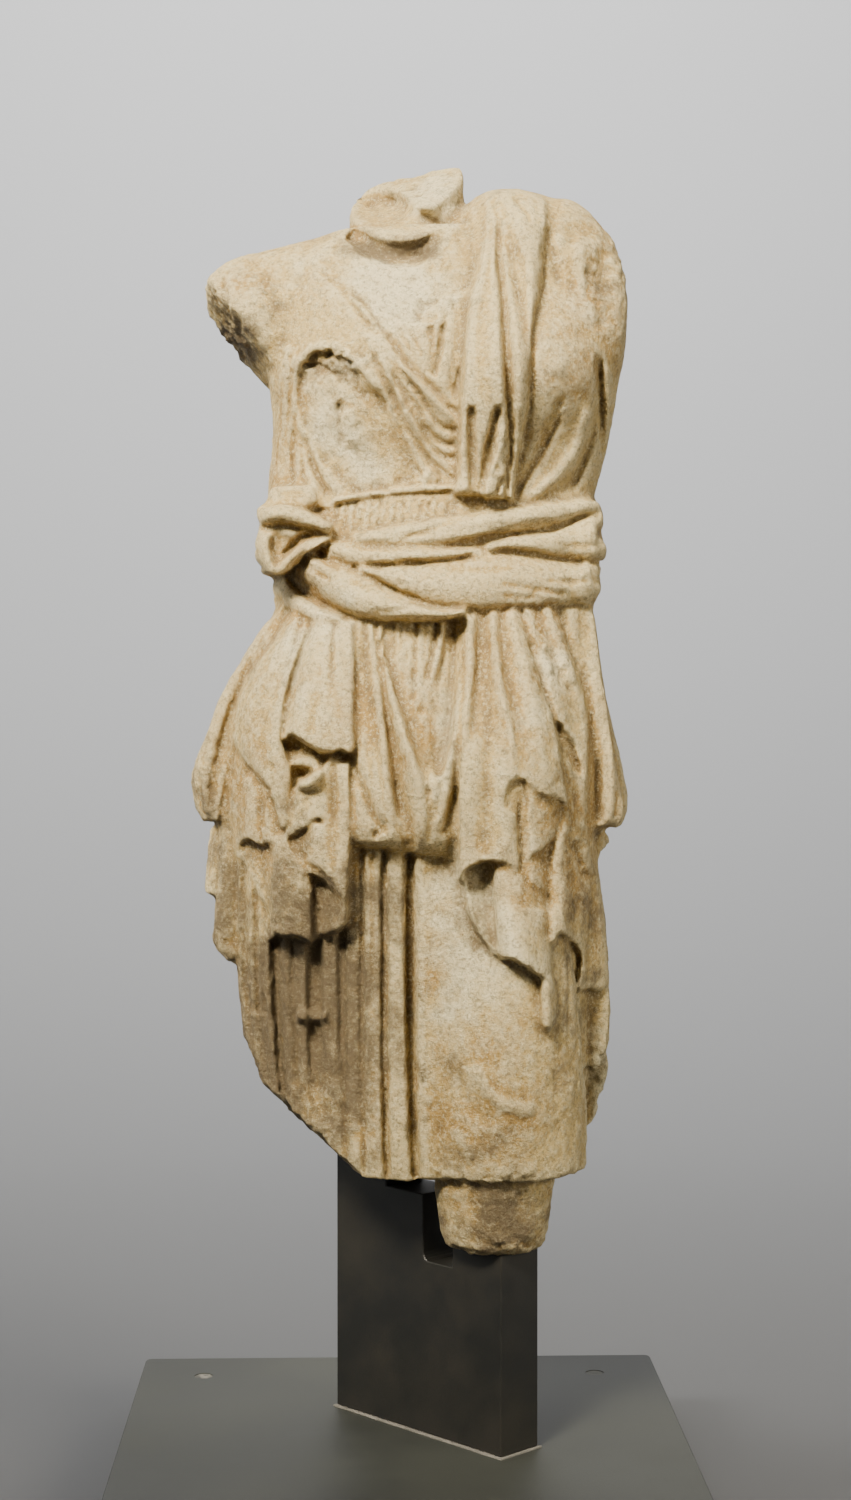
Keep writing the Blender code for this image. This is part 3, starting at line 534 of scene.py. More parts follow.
# %% The drawing and its strokes
def smoothstep(low, high, value):
    t = np.clip((value - low) / (high - low), 0.0, 1.0)
    return t * t * (3.0 - 2.0 * t)


def raised(folds, lift):
    """The same fold lines with their heights multiplied."""
    return [[(across, down, lift * height) for across, down, height in fold] for fold in folds]


def flowing(points, pieces=6):
    """A smooth line through a few points."""
    points = np.asarray(points, float)
    if len(points) < 3:
        return points
    ends = np.vstack((2 * points[0] - points[1], points, 2 * points[-1] - points[-2]))
    t = np.arange(pieces)[:, None] / pieces
    line = []
    for p, q, r, s in zip(ends, ends[1:], ends[2:], ends[3:]):
        line.append(0.5 * (2 * q + (r - p) * t + (2 * p - 5 * q + 4 * r - s) * t**2
                           + (3 * q - p - 3 * r + s) * t**3))
    return np.vstack(line + [points[-1:]])


NARROWEST_FOLD = 0.5
FOLD_ROUNDNESS = 0.65


class Drawing:
    """Relief, in millimetres towards the eye, summed at each point of the stone."""

    def __init__(self, across, down):
        self.across = across
        self.down = down
        self.rise = np.zeros(len(across))
        self.form = self.rise

    def near(self, line, reach):
        low, high = line.min(0) - reach, line.max(0) + reach
        return np.nonzero((self.across > low[0]) & (self.across < high[0])
                          & (self.down > low[1]) & (self.down < high[1]))[0]

    def measure(self, line, reach):
        """Which points are near a line, how far off, how far along (0 to 1) and on which side."""
        picked = self.near(line, reach)
        p = np.column_stack((self.across[picked], self.down[picked]))
        best = np.full(len(picked), 1e9)
        along = np.zeros(len(picked))
        side = np.ones(len(picked))
        lengths = np.hypot(*np.diff(line, axis=0).T)
        starts = np.concatenate(([0.0], np.cumsum(lengths)))
        for a, b, length, start in zip(line, line[1:], lengths, starts):
            d = b - a
            t = np.clip(((p - a) @ d) / max(length * length, 1e-9), 0.0, 1.0)
            off = p - (a + t[:, None] * d)
            distance = np.hypot(off[:, 0], off[:, 1])
            closer = distance < best
            best[closer] = distance[closer]
            along[closer] = (start + t[closer] * length) / starts[-1]
            side[closer] = np.sign(d[0] * off[closer, 1] - d[1] * off[closer, 0])
        return picked, best, along, side

    def stroke(self, points, width, fade):
        """Distance from a stroke as a share of its width there, and how strong it is along its length."""
        widths = np.atleast_1d(np.asarray(width, float))
        picked, off, along, side = self.measure(flowing(points), widths.max() * 1.4)
        share = off / np.interp(along, np.linspace(0.0, 1.0, len(widths)), widths)
        start, end = fade if isinstance(fade, tuple) else (fade, fade)
        strength = np.ones(len(picked))
        if start:
            strength *= smoothstep(0.0, start, along)
        if end:
            strength *= smoothstep(0.0, end, 1.0 - along)
        return picked, share, strength, side

    def crease(self, points, width, depth, fade=0.15):
        """A sharp-bottomed valley between two round folds."""
        picked, share, strength, _ = self.stroke(points, width, fade)
        self.rise[picked] -= depth * strength * np.clip(1.0 - share, 0.0, 1.0)**1.6

    def slot(self, points, width, depth, fade=0.12):
        """A deep drilled channel with steep sides."""
        picked, share, strength, _ = self.stroke(points, width, fade)
        self.rise[picked] -= depth * strength * (1.0 - smoothstep(0.4, 1.25, share))

    def ridge(self, points, width, height, fade=0.15):
        """A round fold that stands out softly."""
        picked, share, strength, _ = self.stroke(points, width, fade)
        self.rise[picked] += height * strength * np.clip(1.0 - share**2, 0.0, 1.0)**1.3

    def roll(self, points, width, height, fade=0.03):
        """A full round roll of cloth, whose width changes along it."""
        picked, share, strength, _ = self.stroke(points, width, fade)
        self.rise[picked] += height * strength * np.clip(1.0 - share**2, 0.0, 1.0)**0.62

    def strand(self, points, width, height, fade=0.03):
        """A round roll of cloth that lies over the plain body; where two meet, the higher one is seen."""
        picked, share, strength, _ = self.stroke(points, width, fade)
        top = self.form[picked] + height * strength * np.clip(1.0 - share**2, 0.0, 1.0)**0.6
        self.rise[picked] = np.where(share < 1.0, np.maximum(self.rise[picked], top), self.rise[picked])

    def lap(self, points, height, reach, edge=2.2, fade=0.1):
        """A cloth edge: the stone to the right of the line's travel stands out and falls back slowly."""
        picked, off, along, side = self.measure(flowing(points), reach)
        signed = off * side
        strength = smoothstep(0.0, fade, along) * smoothstep(0.0, fade, 1.0 - along) if fade else 1.0
        slope = np.clip(1.0 - np.abs(signed) / reach, 0.0, 1.0)
        self.rise[picked] += height * strength * slope * smoothstep(-edge, edge, signed)

    def patch(self, outline, edge):
        """Which points lie in or near a closed outline, and how fully each is inside, from 0 to 1."""
        line = flowing(list(outline) + [outline[0]], 4)
        picked, off, _, _ = self.measure(line, edge)
        x, y = self.across[picked], self.down[picked]
        inside = np.zeros(len(picked), bool)
        for (ax, ay), (bx, by) in zip(line, line[1:]):
            if ay != by:
                inside ^= ((ay > y) != (by > y)) & (x < (bx - ax) * (y - ay) / (by - ay) + ax)
        signed = np.where(inside, off, -off)
        share = np.where(off < edge, smoothstep(-edge, edge, signed), inside.astype(float))
        return line, picked, share

    def panel(self, outline, height, edge=3.0, top=None):
        """A whole patch that stands out or lies back. With top, its rise runs from top to height downwards."""
        line, picked, share = self.patch(outline, edge)
        if top is not None:
            low, high = line[:, 1].min(), line[:, 1].max()
            height = top + (height - top) * np.clip((self.down[picked] - low) / (high - low), 0.0, 1.0)
        self.rise[picked] += height * share

    def cloth(self, outline, folds, edge=1.5):
        """A hanging cloth over whatever is carved so far, from its fold lines of (across, down, height)."""
        _, picked, share = self.patch(outline, edge)
        x, y = self.across[picked], self.down[picked]
        places, heights = [], []
        for fold in folds:
            fold = flowing(fold, 4)
            places.append(np.interp(y, fold[:, 1], fold[:, 0]))
            heights.append(np.interp(y, fold[:, 1], fold[:, 2]))
        height = heights[0].copy()
        for here, there, low, high in zip(places, places[1:], heights, heights[1:]):
            t = np.clip((x - here) / np.maximum(there - here, NARROWEST_FOLD), 0.0, 1.0)
            bent = np.where(high > low, np.sin(t * math.pi / 2), 1.0 - np.cos(t * math.pi / 2))
            t = (1.0 - FOLD_ROUNDNESS) * t + FOLD_ROUNDNESS * bent
            height = np.where(x > here, low + (high - low) * t, height)
        self.rise[picked] += share * (self.form[picked] + height - self.rise[picked])

    def swell(self, centre, across_radius, down_radius, height):
        """A round swelling, or a hollow where the height is negative."""
        u = (self.across - centre[0]) / across_radius
        v = (self.down - centre[1]) / down_radius
        self.rise += height * np.clip(1.0 - u * u - v * v, 0.0, 1.0)**1.5


# %% [markdown]
# Broad forms
# Before any fold is cut, the body under the cloth gets its swellings: the left breast, the belly, the hips
# and the forward thigh that presses against the skirt.

# %% Broad forms
BODY_FORMS = {
    # centre, half width, half height, rise
    "left breast": ((552, 366), 74, 82, 22),
    "right breast": ((322, 402), 62, 70, 8),
    "arm stump": ((240, 320), 40, 60, 10),
    "under the bust": ((420, 470), 90, 50, -8),
    "forward thigh": ((505, 1010), 100, 190, 22),
    "skirt beside it": ((300, 1040), 90, 170, -12),
    "belly": ((418, 760), 96, 120, 14),
    "right hip": ((300, 700), 60, 100, 8),
    "left hip": ((520, 730), 70, 130, 12),
}


def draw_body_forms(sheet):
    for form in BODY_FORMS.values():
        sheet.swell(*form)
    sheet.form = sheet.rise.copy()


# %% [markdown]
# Neck and bare chest
# The neck is broken through on a slant, with a shallow oval hollow at the left and a lump left standing at
# the right. Below it the bare skin shows in a V between the two garments.

# %% Neck and chest strokes
def draw_neck(sheet):
    sheet.swell((382, 211), 36, 21, -42)
    sheet.swell((397, 208), 14, 16, -14)
    sheet.ridge([(398, 188), (409, 201), (424, 208), (440, 214)], 7, 14)
    sheet.ridge([(350, 214), (358, 225), (374, 231), (389, 233), (400, 234), (413, 236), (420, 231)], 4, 4)
    sheet.slot([(348, 234), (370, 249), (392, 256), (414, 255), (434, 243), (450, 224)],
               (8, 12, 13, 12, 8, 5), 19, (0.05, 0.35))
    sheet.swell((436, 192), 20, 20, 5)
    sheet.panel([(318, 262), (346, 238), (366, 246), (400, 254), (440, 250), (466, 218), (474, 240), (470, 286),
                 (441, 301), (424, 316), (412, 326), (390, 318), (376, 311), (346, 292)], -6, 3)
    sheet.panel([(415, 306), (425, 303), (438, 304), (438, 321), (428, 323), (416, 322)], -4, 2)


# %% [markdown]
# Bodice
# The thin tunic gathers in fine folds at the neckline. The right breast is broken off: what is left is a
# rough hollow under an overhanging ledge. Fine folds fall from it to the cord that is tied under the bust.

# %% Bodice strokes
BREAST_BREAK = [(297, 392), (300, 372), (306, 360), (318, 352), (334, 353), (348, 362), (360, 374), (374, 390),
                (388, 406), (396, 428), (405, 452), (417, 476), (404, 484), (384, 489), (361, 494),
                (342, 478), (324, 466), (313, 446), (304, 430), (299, 410)]
# Cloth between the sleeve seam and the mantle, swinging down to the cord
SWING_EDGE = [(364, 336), (378, 334), (388, 338), (400, 354), (412, 370), (424, 380), (438, 393), (461, 416),
              (461, 492), (430, 490), (420, 488), (412, 464), (402, 436), (392, 404), (381, 375), (370, 352)]


def draw_bodice(sheet):
    sheet.panel(BREAST_BREAK, -4, 3.0, top=-13)
    sheet.ridge([(296, 384), (302, 364), (318, 351), (336, 351), (352, 362), (366, 377), (384, 400)], 10, 5)
    sheet.crease([(299, 376), (310, 366), (330, 372), (350, 386), (376, 404)], 10, 5)
    sheet.swell((340, 408), 5, 7, -7)
    sheet.ridge([(347, 408), (350, 430), (356, 444), (364, 446)], 8, 4)
    sheet.crease([(340, 398), (338, 420), (346, 446), (360, 456)], 7, 3)
    sheet.swell((320, 430), 16, 34, 3)
    for line in ([(332, 468), (345, 484), (363, 496)], [(371, 482), (380, 488), (392, 492)],
                 [(392, 482), (404, 480), (416, 482)], [(306, 436), (314, 466), (332, 500)]):
        sheet.crease(line, 7, 6)
    # The long cloths that swing down beside the break
    sheet.panel(SWING_EDGE, 3, 3.0)
    for line, width, depth in (
            ([(370, 350), (382, 375), (393, 404), (403, 436), (414, 463), (422, 478)], (4, 5, 6, 5), 10),
            ([(390, 386), (405, 425), (421, 452), (436, 474), (442, 484)], (4, 5, 6, 5), 8),
            ([(388, 378), (399, 406), (412, 432), (428, 456), (442, 471), (460, 484)], (3, 5, 5, 4), 7),
            ([(390, 372), (404, 399), (419, 424), (431, 446), (446, 458), (462, 458)], (3, 5, 5, 4), 8),
            ([(389, 366), (404, 390), (419, 411), (428, 431), (442, 443), (462, 446)], (3, 5, 5, 4), 8),
            ([(390, 360), (407, 379), (422, 400), (431, 415), (442, 427), (462, 432)], (3, 5, 5, 4), 8),
            ([(342, 288), (358, 300), (371, 313), (380, 328), (388, 338), (399, 354), (410, 368), (422, 378),
              (436, 392), (452, 410), (463, 419)], (3, 4, 4, 5, 6, 7, 7), 12)):
        sheet.crease(line, width, depth, (0.08, 0.03))
    sheet.ridge([(378, 350), (390, 376), (403, 408), (416, 440), (430, 466)], 4, 4)
    sheet.ridge([(396, 362), (412, 378), (428, 394), (444, 410), (460, 424)], 5, 5)
    sheet.ridge([(424, 488), (430, 472), (438, 484)], 5, 4)
    # Neckline seam with the narrow band beside it
    sheet.crease([(314, 266), (334, 284), (343, 293), (354, 306), (364, 320), (374, 330), (382, 340)], 4.5, 7)
    sheet.ridge([(346, 290), (358, 304), (368, 318), (378, 330)], 6, 3)
    # Fine folds that meet at the bottom of the neckline
    for line, width, depth in (([(377, 312), (390, 332), (403, 353), (416, 370)], 3.6, 5),
                               ([(387, 318), (401, 337), (412, 356), (421, 374)], 3.6, 5),
                               ([(396, 322), (407, 340), (417, 358), (425, 374)], 3, 3),
                               ([(408, 327), (419, 350), (426, 366), (430, 378)], 3.6, 6),
                               ([(417, 326), (424, 346), (429, 362), (432, 378)], 3, 4),
                               ([(446, 304), (444, 330), (440, 350), (434, 382)], 3, 5),
                               ([(452, 300), (457, 327), (454, 361), (448, 396)], 3.5, 7),
                               ([(460, 294), (463, 325), (459, 361), (452, 398)], 3, 4)):
        sheet.crease(line, width, depth, 0.06)
    sheet.slot([(430, 326), (432, 345), (431, 368)], (5, 5, 2), 6, 0.05)
    sheet.slot([(443, 324), (440, 350), (433, 378)], (3, 4, 3), 8, 0.05)
    sheet.slot([(469, 296), (466, 340), (462, 366), (452, 404)], (3, 3.5, 4, 3), 7)
    # Folds at her side, beside the break
    sheet.lap([(268, 500), (276, 440), (280, 380), (288, 340)], 7, 18)
    for line, width, depth in (([(293, 346), (290, 400), (284, 450), (280, 486)], 4.5, 7),
                               ([(284, 352), (281, 410), (276, 480)], 4, 4),
                               ([(297, 408), (294, 447), (293, 490)], 4.5, 7),
                               ([(298, 428), (303, 462), (303, 494)], 4.5, 6),
                               ([(304, 432), (313, 466), (331, 500)], 6, 8)):
        sheet.crease(line, width, depth)
    sheet.ridge([(288, 356), (286, 420), (280, 490)], 4, 4)
    sheet.ridge([(270, 498), (290, 503), (314, 501)], 8, 6)
    sheet.slot([(270, 509), (290, 512), (322, 513), (334, 516)], 5, 9)


# %% [markdown]
# Mantle over the left shoulder
# The mantle is bunched on the shoulder and hangs down the chest in long folds, with two channels that the
# sculptor opened with a drill. It narrows to the waist and spreads over the breast at the far side.

# %% Mantle strokes
MANTLE_EDGE = [(476, 188), (492, 186), (512, 186), (532, 192), (546, 206), (546, 236), (543, 268), (541, 300),
               (535, 330), (531, 367), (530, 401), (521, 447), (514, 486), (508, 516), (456, 516), (458, 470),
               (460, 420), (463, 367), (467, 313), (475, 280), (482, 240), (484, 210)]
MANTLE_FOLDS = [
    [(486, 190, 2), (484, 233, 4), (475, 287, 8), (467, 313, 9), (463, 367, 10), (460, 420, 12), (456, 513, 12)],
    [(488, 190, 8), (488, 233, 11), (481, 287, 13), (474, 313, 15), (469, 367, 17), (466, 420, 18),
     (463, 513, 18)],
    [(489, 190, 6), (491, 233, 9), (486, 280, 10), (480, 313, 13), (478, 367, 18), (480, 420, 20),
     (478, 513, 18)],
    [(485, 190, 12), (495, 212, 14), (494, 260, 14), (498, 300, 15), (498, 340, 19), (500, 367, 20),
     (503, 407, 20), (504, 447, 19), (498, 513, 18)],
    [(478, 190, 2), (491, 207, 2), (497, 228, 1), (498, 260, 0), (503, 300, 1), (504, 329, 2), (507, 367, 3),
     (509, 407, 4), (511, 447, 4), (509, 473, 5), (505, 513, 6)],
    [(492, 190, 12), (502, 220, 14), (503, 250, 12), (510, 300, 13), (516, 340, 14), (518, 380, 15),
     (518, 420, 15), (515, 460, 14), (509, 513, 12)],
    [(494, 190, 12), (506, 222, 13), (510, 262, 8), (519, 300, 7), (527, 332, 6), (528, 380, 8), (524, 430, 9),
     (516, 480, 9), (511, 513, 9)],
    [(504, 190, 15), (522, 220, 18), (530, 262, 16), (531, 300, 15), (531, 332, 11), (529, 380, 8),
     (525, 430, 8), (517, 480, 8), (512, 513, 8)],
    [(520, 190, 12), (538, 212, 14), (541, 240, 12), (540, 270, 10), (537, 300, 8), (533, 332, 4),
     (531, 367, 2), (530, 401, 2), (521, 447, 2), (514, 486, 2), (509, 516, 2)],
]

MANTLE_LIFT = 1.6


def draw_mantle(sheet):
    sheet.swell((520, 230), 60, 60, 6)
    sheet.cloth(MANTLE_EDGE, raised(MANTLE_FOLDS, MANTLE_LIFT), 3.0)
    for line, width, depth in (
            ([(538, 210), (544, 233), (543, 268), (540, 300), (533, 330), (532, 367), (530, 401), (522, 447),
              (514, 500)], (4, 6, 6, 6, 6, 6, 6), 9),
            ([(510, 196), (522, 210), (532, 224)], 4, 8),
            ([(488, 192), (500, 206), (505, 226)], 4, 5),
            ([(547, 226), (552, 247), (555, 268), (560, 292)], 8, 5),
            ([(533, 200), (545, 206), (552, 214)], 5, 5),
            ([(514, 240), (524, 280), (526, 318)], 6, 3),
            ([(566, 392), (548, 427), (530, 458), (513, 496)], (6, 8, 7, 5), 6),
            ([(564, 410), (543, 450), (526, 478), (512, 503)], (4, 7, 8, 6), 10),
            ([(595, 352), (600, 385), (597, 420), (585, 458), (568, 497)], (4, 7, 9, 8, 5), 15),
            ([(588, 440), (576, 470), (560, 498)], 5, 5),
            ([(614, 380), (612, 420), (605, 460)], 4, 4)):
        sheet.crease(line, width, depth)
    sheet.ridge([(590, 400), (584, 430), (570, 460), (545, 486), (524, 502)], (7, 10, 11, 9, 6), 7)
    sheet.ridge([(541, 430), (530, 456), (516, 488)], 5, 4)
    sheet.slot([(600, 352), (602, 404), (603, 458)], (3, 4.5, 3), 9)
    sheet.slot([(471.5, 404), (472, 442), (474, 514)], (5, 5.5, 5.5), 10, (0.08, 0.0))
    sheet.slot([(499, 405), (491, 440), (484, 478), (478, 514)], (5, 6, 5), 10, (0.08, 0.0))
    sheet.ridge([(505, 420), (499, 455), (490, 475), (482, 510)], 3.5, 4)
    sheet.slot([(504, 474), (498, 490), (491, 510)], 3.2, 9)
    sheet.crease([(488, 474), (494, 480), (499, 478)], 3, 4)
    sheet.ridge([(608, 360), (611, 400), (606, 440)], 5, 5)
    sheet.swell((604, 268), 20, 34, -8)
    sheet.swell((582, 232), 22, 18, -6)
    sheet.lap([(588, 236), (584, 262), (588, 296), (602, 322)], 6, 16)
    sheet.swell((558, 367), 12, 13, 4)


# %% [markdown]
# Cord, knot and rolled waist
# A thin cord runs under the bust. Below it the mantle is twisted into a thick roll round the waist and
# knotted at her right side. Each strand of the roll is a stroke that swells and narrows along its way.

# %% Waist strokes
def draw_waist(sheet):
    # The plain body that the roll lies on
    sheet.cloth([(262, 506), (300, 514), (330, 512), (364, 504), (400, 500), (457, 494), (520, 500), (600, 494),
                 (606, 540), (604, 603), (560, 606), (530, 608), (500, 612), (461, 616), (430, 621), (400, 624),
                 (360, 622), (321, 616), (296, 606), (276, 590), (262, 560)],
                [[(262, 490, 0), (262, 630, 0)]], 3.0)
    sheet.ridge([(331, 503), (345, 499), (364, 495), (400, 491), (430, 489), (457, 487)], 3.4, 6, 0.03)
    sheet.crease([(333, 508), (364, 501), (400, 496), (457, 492)], 4, 4, 0.03)
    sheet.crease([(340, 496), (364, 490), (400, 486), (457, 482)], 4, 3, 0.03)
    for number, across in enumerate((337, 346, 354, 363, 371, 379, 387, 395, 403, 411, 419, 427, 436, 446, 453)):
        sheet.crease([(across + 3, 500), (across + 1, 510), (across - 5 + number % 3 * 2, 532)], 4.2,
                     4 + number % 3, 0.1)
    # The strands of the roll
    for line, width, height in (
            ([(604, 500), (592, 503), (560, 512), (505, 521), (455, 531), (410, 535), (350, 540)],
             (9, 11, 13, 14, 15, 11, 5), 16),
            ([(604, 537), (575, 540), (551, 544), (515, 545), (485, 549)], (24, 20, 15, 9, 4), 18),
            ([(318, 545), (340, 552), (375, 556), (410, 556), (445, 556), (484, 552)], (9, 14, 13, 11, 8, 3), 20),
            ([(606, 584), (570, 583), (530, 582), (487, 581), (440, 584), (400, 578), (354, 568)],
             (22, 24, 27, 30, 24, 15, 3), 24),
            ([(276, 578), (290, 598), (312, 612), (342, 620)], (8, 10, 9, 4), 22),
            ([(296, 560), (322, 574), (356, 594), (400, 608), (440, 614), (468, 612)],
             (12, 20, 23, 15, 8, 3), 30)):
        sheet.strand(line, width, height, (0.10, 0.03))
    # Creases between and on them
    for line, width, depth in (
            ([(442, 547), (472, 539), (505, 534), (551, 531), (573, 521), (592, 508)], 5, 12),
            ([(487, 548), (527, 552), (551, 557), (592, 566)], 5, 12),
            ([(357, 568), (390, 565), (429, 561), (460, 558), (487, 549)], 5, 13),
            ([(355, 568), (390, 588), (429, 606), (452, 610)], 5, 9),
            ([(400, 540), (430, 530), (462, 519)], 4, 7),
            ([(380, 537), (420, 534), (470, 529), (520, 522)], 5, 4),
            ([(470, 543), (510, 528), (560, 520)], 5, 4),
            ([(560, 545), (600, 546)], 5, 4),
            ([(498, 583), (527, 588), (572, 594)], 5, 6),
            ([(547, 580), (570, 582), (592, 580)], 5, 6),
            ([(500, 594), (520, 597), (542, 594)], 5, 4),
            ([(440, 566), (480, 570), (520, 566)], 7, 3),
            ([(311, 551), (325, 562), (342, 574)], 6, 6),
            ([(301, 562), (316, 572), (334, 582)], 6, 7),
            ([(345, 580), (372, 590), (405, 600)], 7, 5),
            ([(291, 577), (305, 593), (326, 606), (360, 618)], 5, 10),
            ([(370, 612), (390, 611), (412, 608)], 5, 5),
            ([(340, 546), (362, 549), (400, 549)], 5, 4)):
        sheet.crease(line, width, depth)
    # The knot
    sheet.strand([(264, 517), (285, 514), (308, 520), (332, 530)], (7, 10, 9, 4), 14)
    sheet.strand([(268, 532), (264, 548), (270, 568), (282, 570), (300, 554), (334, 537)],
                 (6, 8, 8, 8, 8, 4), 16)
    sheet.slot([(314, 535), (300, 538), (290, 549), (282, 557)], (3, 4, 4, 2), 10)
    sheet.crease([(268, 527), (290, 528), (322, 532)], 5, 9)
    sheet.crease([(336, 533), (312, 544), (298, 560), (282, 574)], 5, 8)
    sheet.slot([(299, 560), (292, 572)], 3, 8)


# %% [markdown]
# Lower skirt
# Flat-topped pleats hang beside the forward thigh, with narrow, deep grooves between them. Over the thigh
# the cloth is pulled smooth. Each fold line is given by a few places on the board, each with its own
# height, and the cloth is stretched from one line to the next: round over the ridges, sharp in the valleys.

# %% Lower skirt
SKIRT_EDGE = [(226, 800), (614, 800), (616, 1000), (600, 1140), (584, 1200), (400, 1196), (330, 1160),
              (240, 1070), (226, 960)]
SKIRT_FOLDS = [
    [(231, 840, -5), (235, 960, -5), (247, 1050, -5), (262, 1080, -5)],
    [(238, 840, 2), (239, 950, 2), (246, 1030, 0), (264, 1085, 0)],
    [(242, 840, -9), (243, 950, -8), (249, 1030, -5), (266, 1086, -5)],
    [(250, 840, -3), (250, 960, -2), (255, 1040, -2), (268, 1090, -2)],
    [(257, 840, -10), (257, 960, -9), (261, 1040, -7), (270, 1090, -6)],
    [(260, 840, -2), (260, 960, -1), (264, 1040, -1), (273, 1095, -2)],
    [(263, 840, -11), (263, 960, -11), (267, 1040, -9), (276, 1097, -8)],
    [(268, 840, -2), (267, 960, 0), (270, 1030, 0), (278, 1098, -2)],
    [(274, 840, -17), (274, 960, -18), (276, 1020, -18), (281, 1100, -14)],
    [(277, 840, -17), (277, 960, -18), (279, 1020, -18), (284, 1102, -13)],
    [(284, 840, -3), (284, 960, -1), (287, 1040, 0), (294, 1110, -1)],
    [(298, 840, -6), (298, 960, -3), (300, 1040, -2), (305, 1120, -3)],
    [(304, 840, -4), (305, 960, -1), (306, 1040, -1), (309, 1125, -3)],
    [(307, 840, -13), (308, 960, -13), (308, 1040, -13), (311, 1110, -6), (312, 1140, -5)],
    [(320, 840, -15), (320, 960, -15), (322, 1030, -14), (324, 1080, -7), (324, 1150, -5)],
    [(323, 840, -5), (323, 960, -4), (325, 1040, -3), (328, 1070, -5), (330, 1155, -5)],
    [(331, 840, -2), (331, 960, 0), (333, 1040, 0), (336, 1075, -4), (338, 1160, -4)],
    [(338, 840, -12), (339, 960, -14), (340, 1040, -13), (341, 1075, -9), (343, 1160, -8)],
    [(345, 840, -16), (344, 960, -17), (344, 1060, -15), (345, 1165, -13)],
    [(348, 840, -7), (347, 960, -6), (348, 1060, -5), (349, 1165, -5)],
    [(358, 840, -7), (358, 960, -6), (358, 1060, -6), (360, 1168, -5)],
    [(362, 840, -19), (362, 960, -19), (362, 1060, -18), (363, 1168, -16)],
    [(366, 840, -4), (366, 960, -3), (366, 1060, -3), (367, 1170, -3)],
    [(372, 840, -8), (372, 940, -8), (372, 1000, -4), (374, 1170, -4)],
    [(379, 840, -3), (379, 960, -2), (379, 1060, -2), (381, 1172, -2)],
    [(382, 840, -20), (382, 960, -20), (383, 1060, -20), (385, 1172, -18)],
    [(385, 840, -20), (385, 960, -20), (385, 1060, -20), (388, 1172, -18)],
    [(389, 840, -3), (389, 960, -2), (390, 1060, -2), (393, 1174, -2)],
    [(402, 840, -3), (403, 960, -1), (405, 1060, -1), (409, 1176, -2)],
    [(406, 840, -22), (406, 960, -24), (408, 1060, -24), (412, 1178, -20)],
    [(412, 840, -22), (413, 960, -24), (414, 1060, -24), (417, 1180, -20)],
    [(417, 840, -6), (418, 960, -2), (419, 1060, 0), (423, 1182, 1)],
    [(440, 840, -6), (440, 960, -1), (440, 1060, 1), (440, 1184, 2)],
    [(500, 840, -6), (500, 960, 0), (500, 1060, 2), (500, 1188, 2)],
    [(555, 840, -8), (555, 960, -2), (555, 1060, 0), (556, 1188, 0)],
    [(586, 840, -6), (587, 960, -4), (586, 1050, -2), (581, 1140, -2), (576, 1188, -4)],
    [(589, 840, -6), (589, 960, -4), (588, 1050, -14), (584, 1140, -14), (580, 1188, -12)],
    [(612, 840, -6), (612, 960, -4), (612, 1050, -4), (606, 1140, -4), (600, 1188, -4)],
]


def draw_lower_skirt(sheet):
    sheet.cloth(SKIRT_EDGE, SKIRT_FOLDS, 2.0)
    # Thin valleys between the small pleats at the left edge
    for valley in ([(245, 850), (246, 960), (254, 1052)], [(256, 850), (257, 960), (266, 1082)],
                   [(291, 860), (292, 980), (299, 1112)], [(329, 880), (330, 990), (333, 1060)]):
        sheet.crease(valley, 5, 8)
    # The strut the sculptor left across the channel
    sheet.ridge([(296, 1017), (310, 1017), (326, 1018)], 8, 13, 0.05)
    # Slant folds in the smooth cloth over the thigh
    sheet.ridge([(470, 1062), (484, 1088), (501, 1105), (518, 1110), (540, 1112)], 10, 5)
    sheet.ridge([(452, 1128), (462, 1144), (472, 1162)], 8, 3)
    sheet.crease([(448, 1064), (466, 1104), (496, 1128)], 15, 3)
    sheet.crease([(562, 1020), (556, 1090), (560, 1150)], 14, 3)
    for across in (560, 569, 578):
        sheet.crease([(across, 950), (across + 1, 1000), (across - 2, 1060)], 4.5, 3)
    sheet.crease([(594, 889), (597, 918), (603, 977)], 5, 7)
    # Worn hem
    for number, across in enumerate(range(424, 580, 12)):
        sheet.swell((across + number % 3 * 2, 1183 - number % 2 * 3), 5, 7, -3)
    # The stub lies back under the hem
    sheet.crease([(470, 1194), (476, 1222), (474, 1250)], 12, 3)
    sheet.crease([(522, 1192), (518, 1220), (524, 1252)], 12, 2)
    for across, down in ((441, 1244), (462, 1256), (494, 1250), (528, 1247), (547, 1250)):
        sheet.swell((across, down), 11, 8, -4)


# %% [markdown]
# Blouse over the hips
# Under the waist roll the tunic is pulled up and falls over itself in a deep blouse. Its lower edge turns
# in over the skirt, and in front the cloth sags in a long V between the two hanging ends of the mantle.

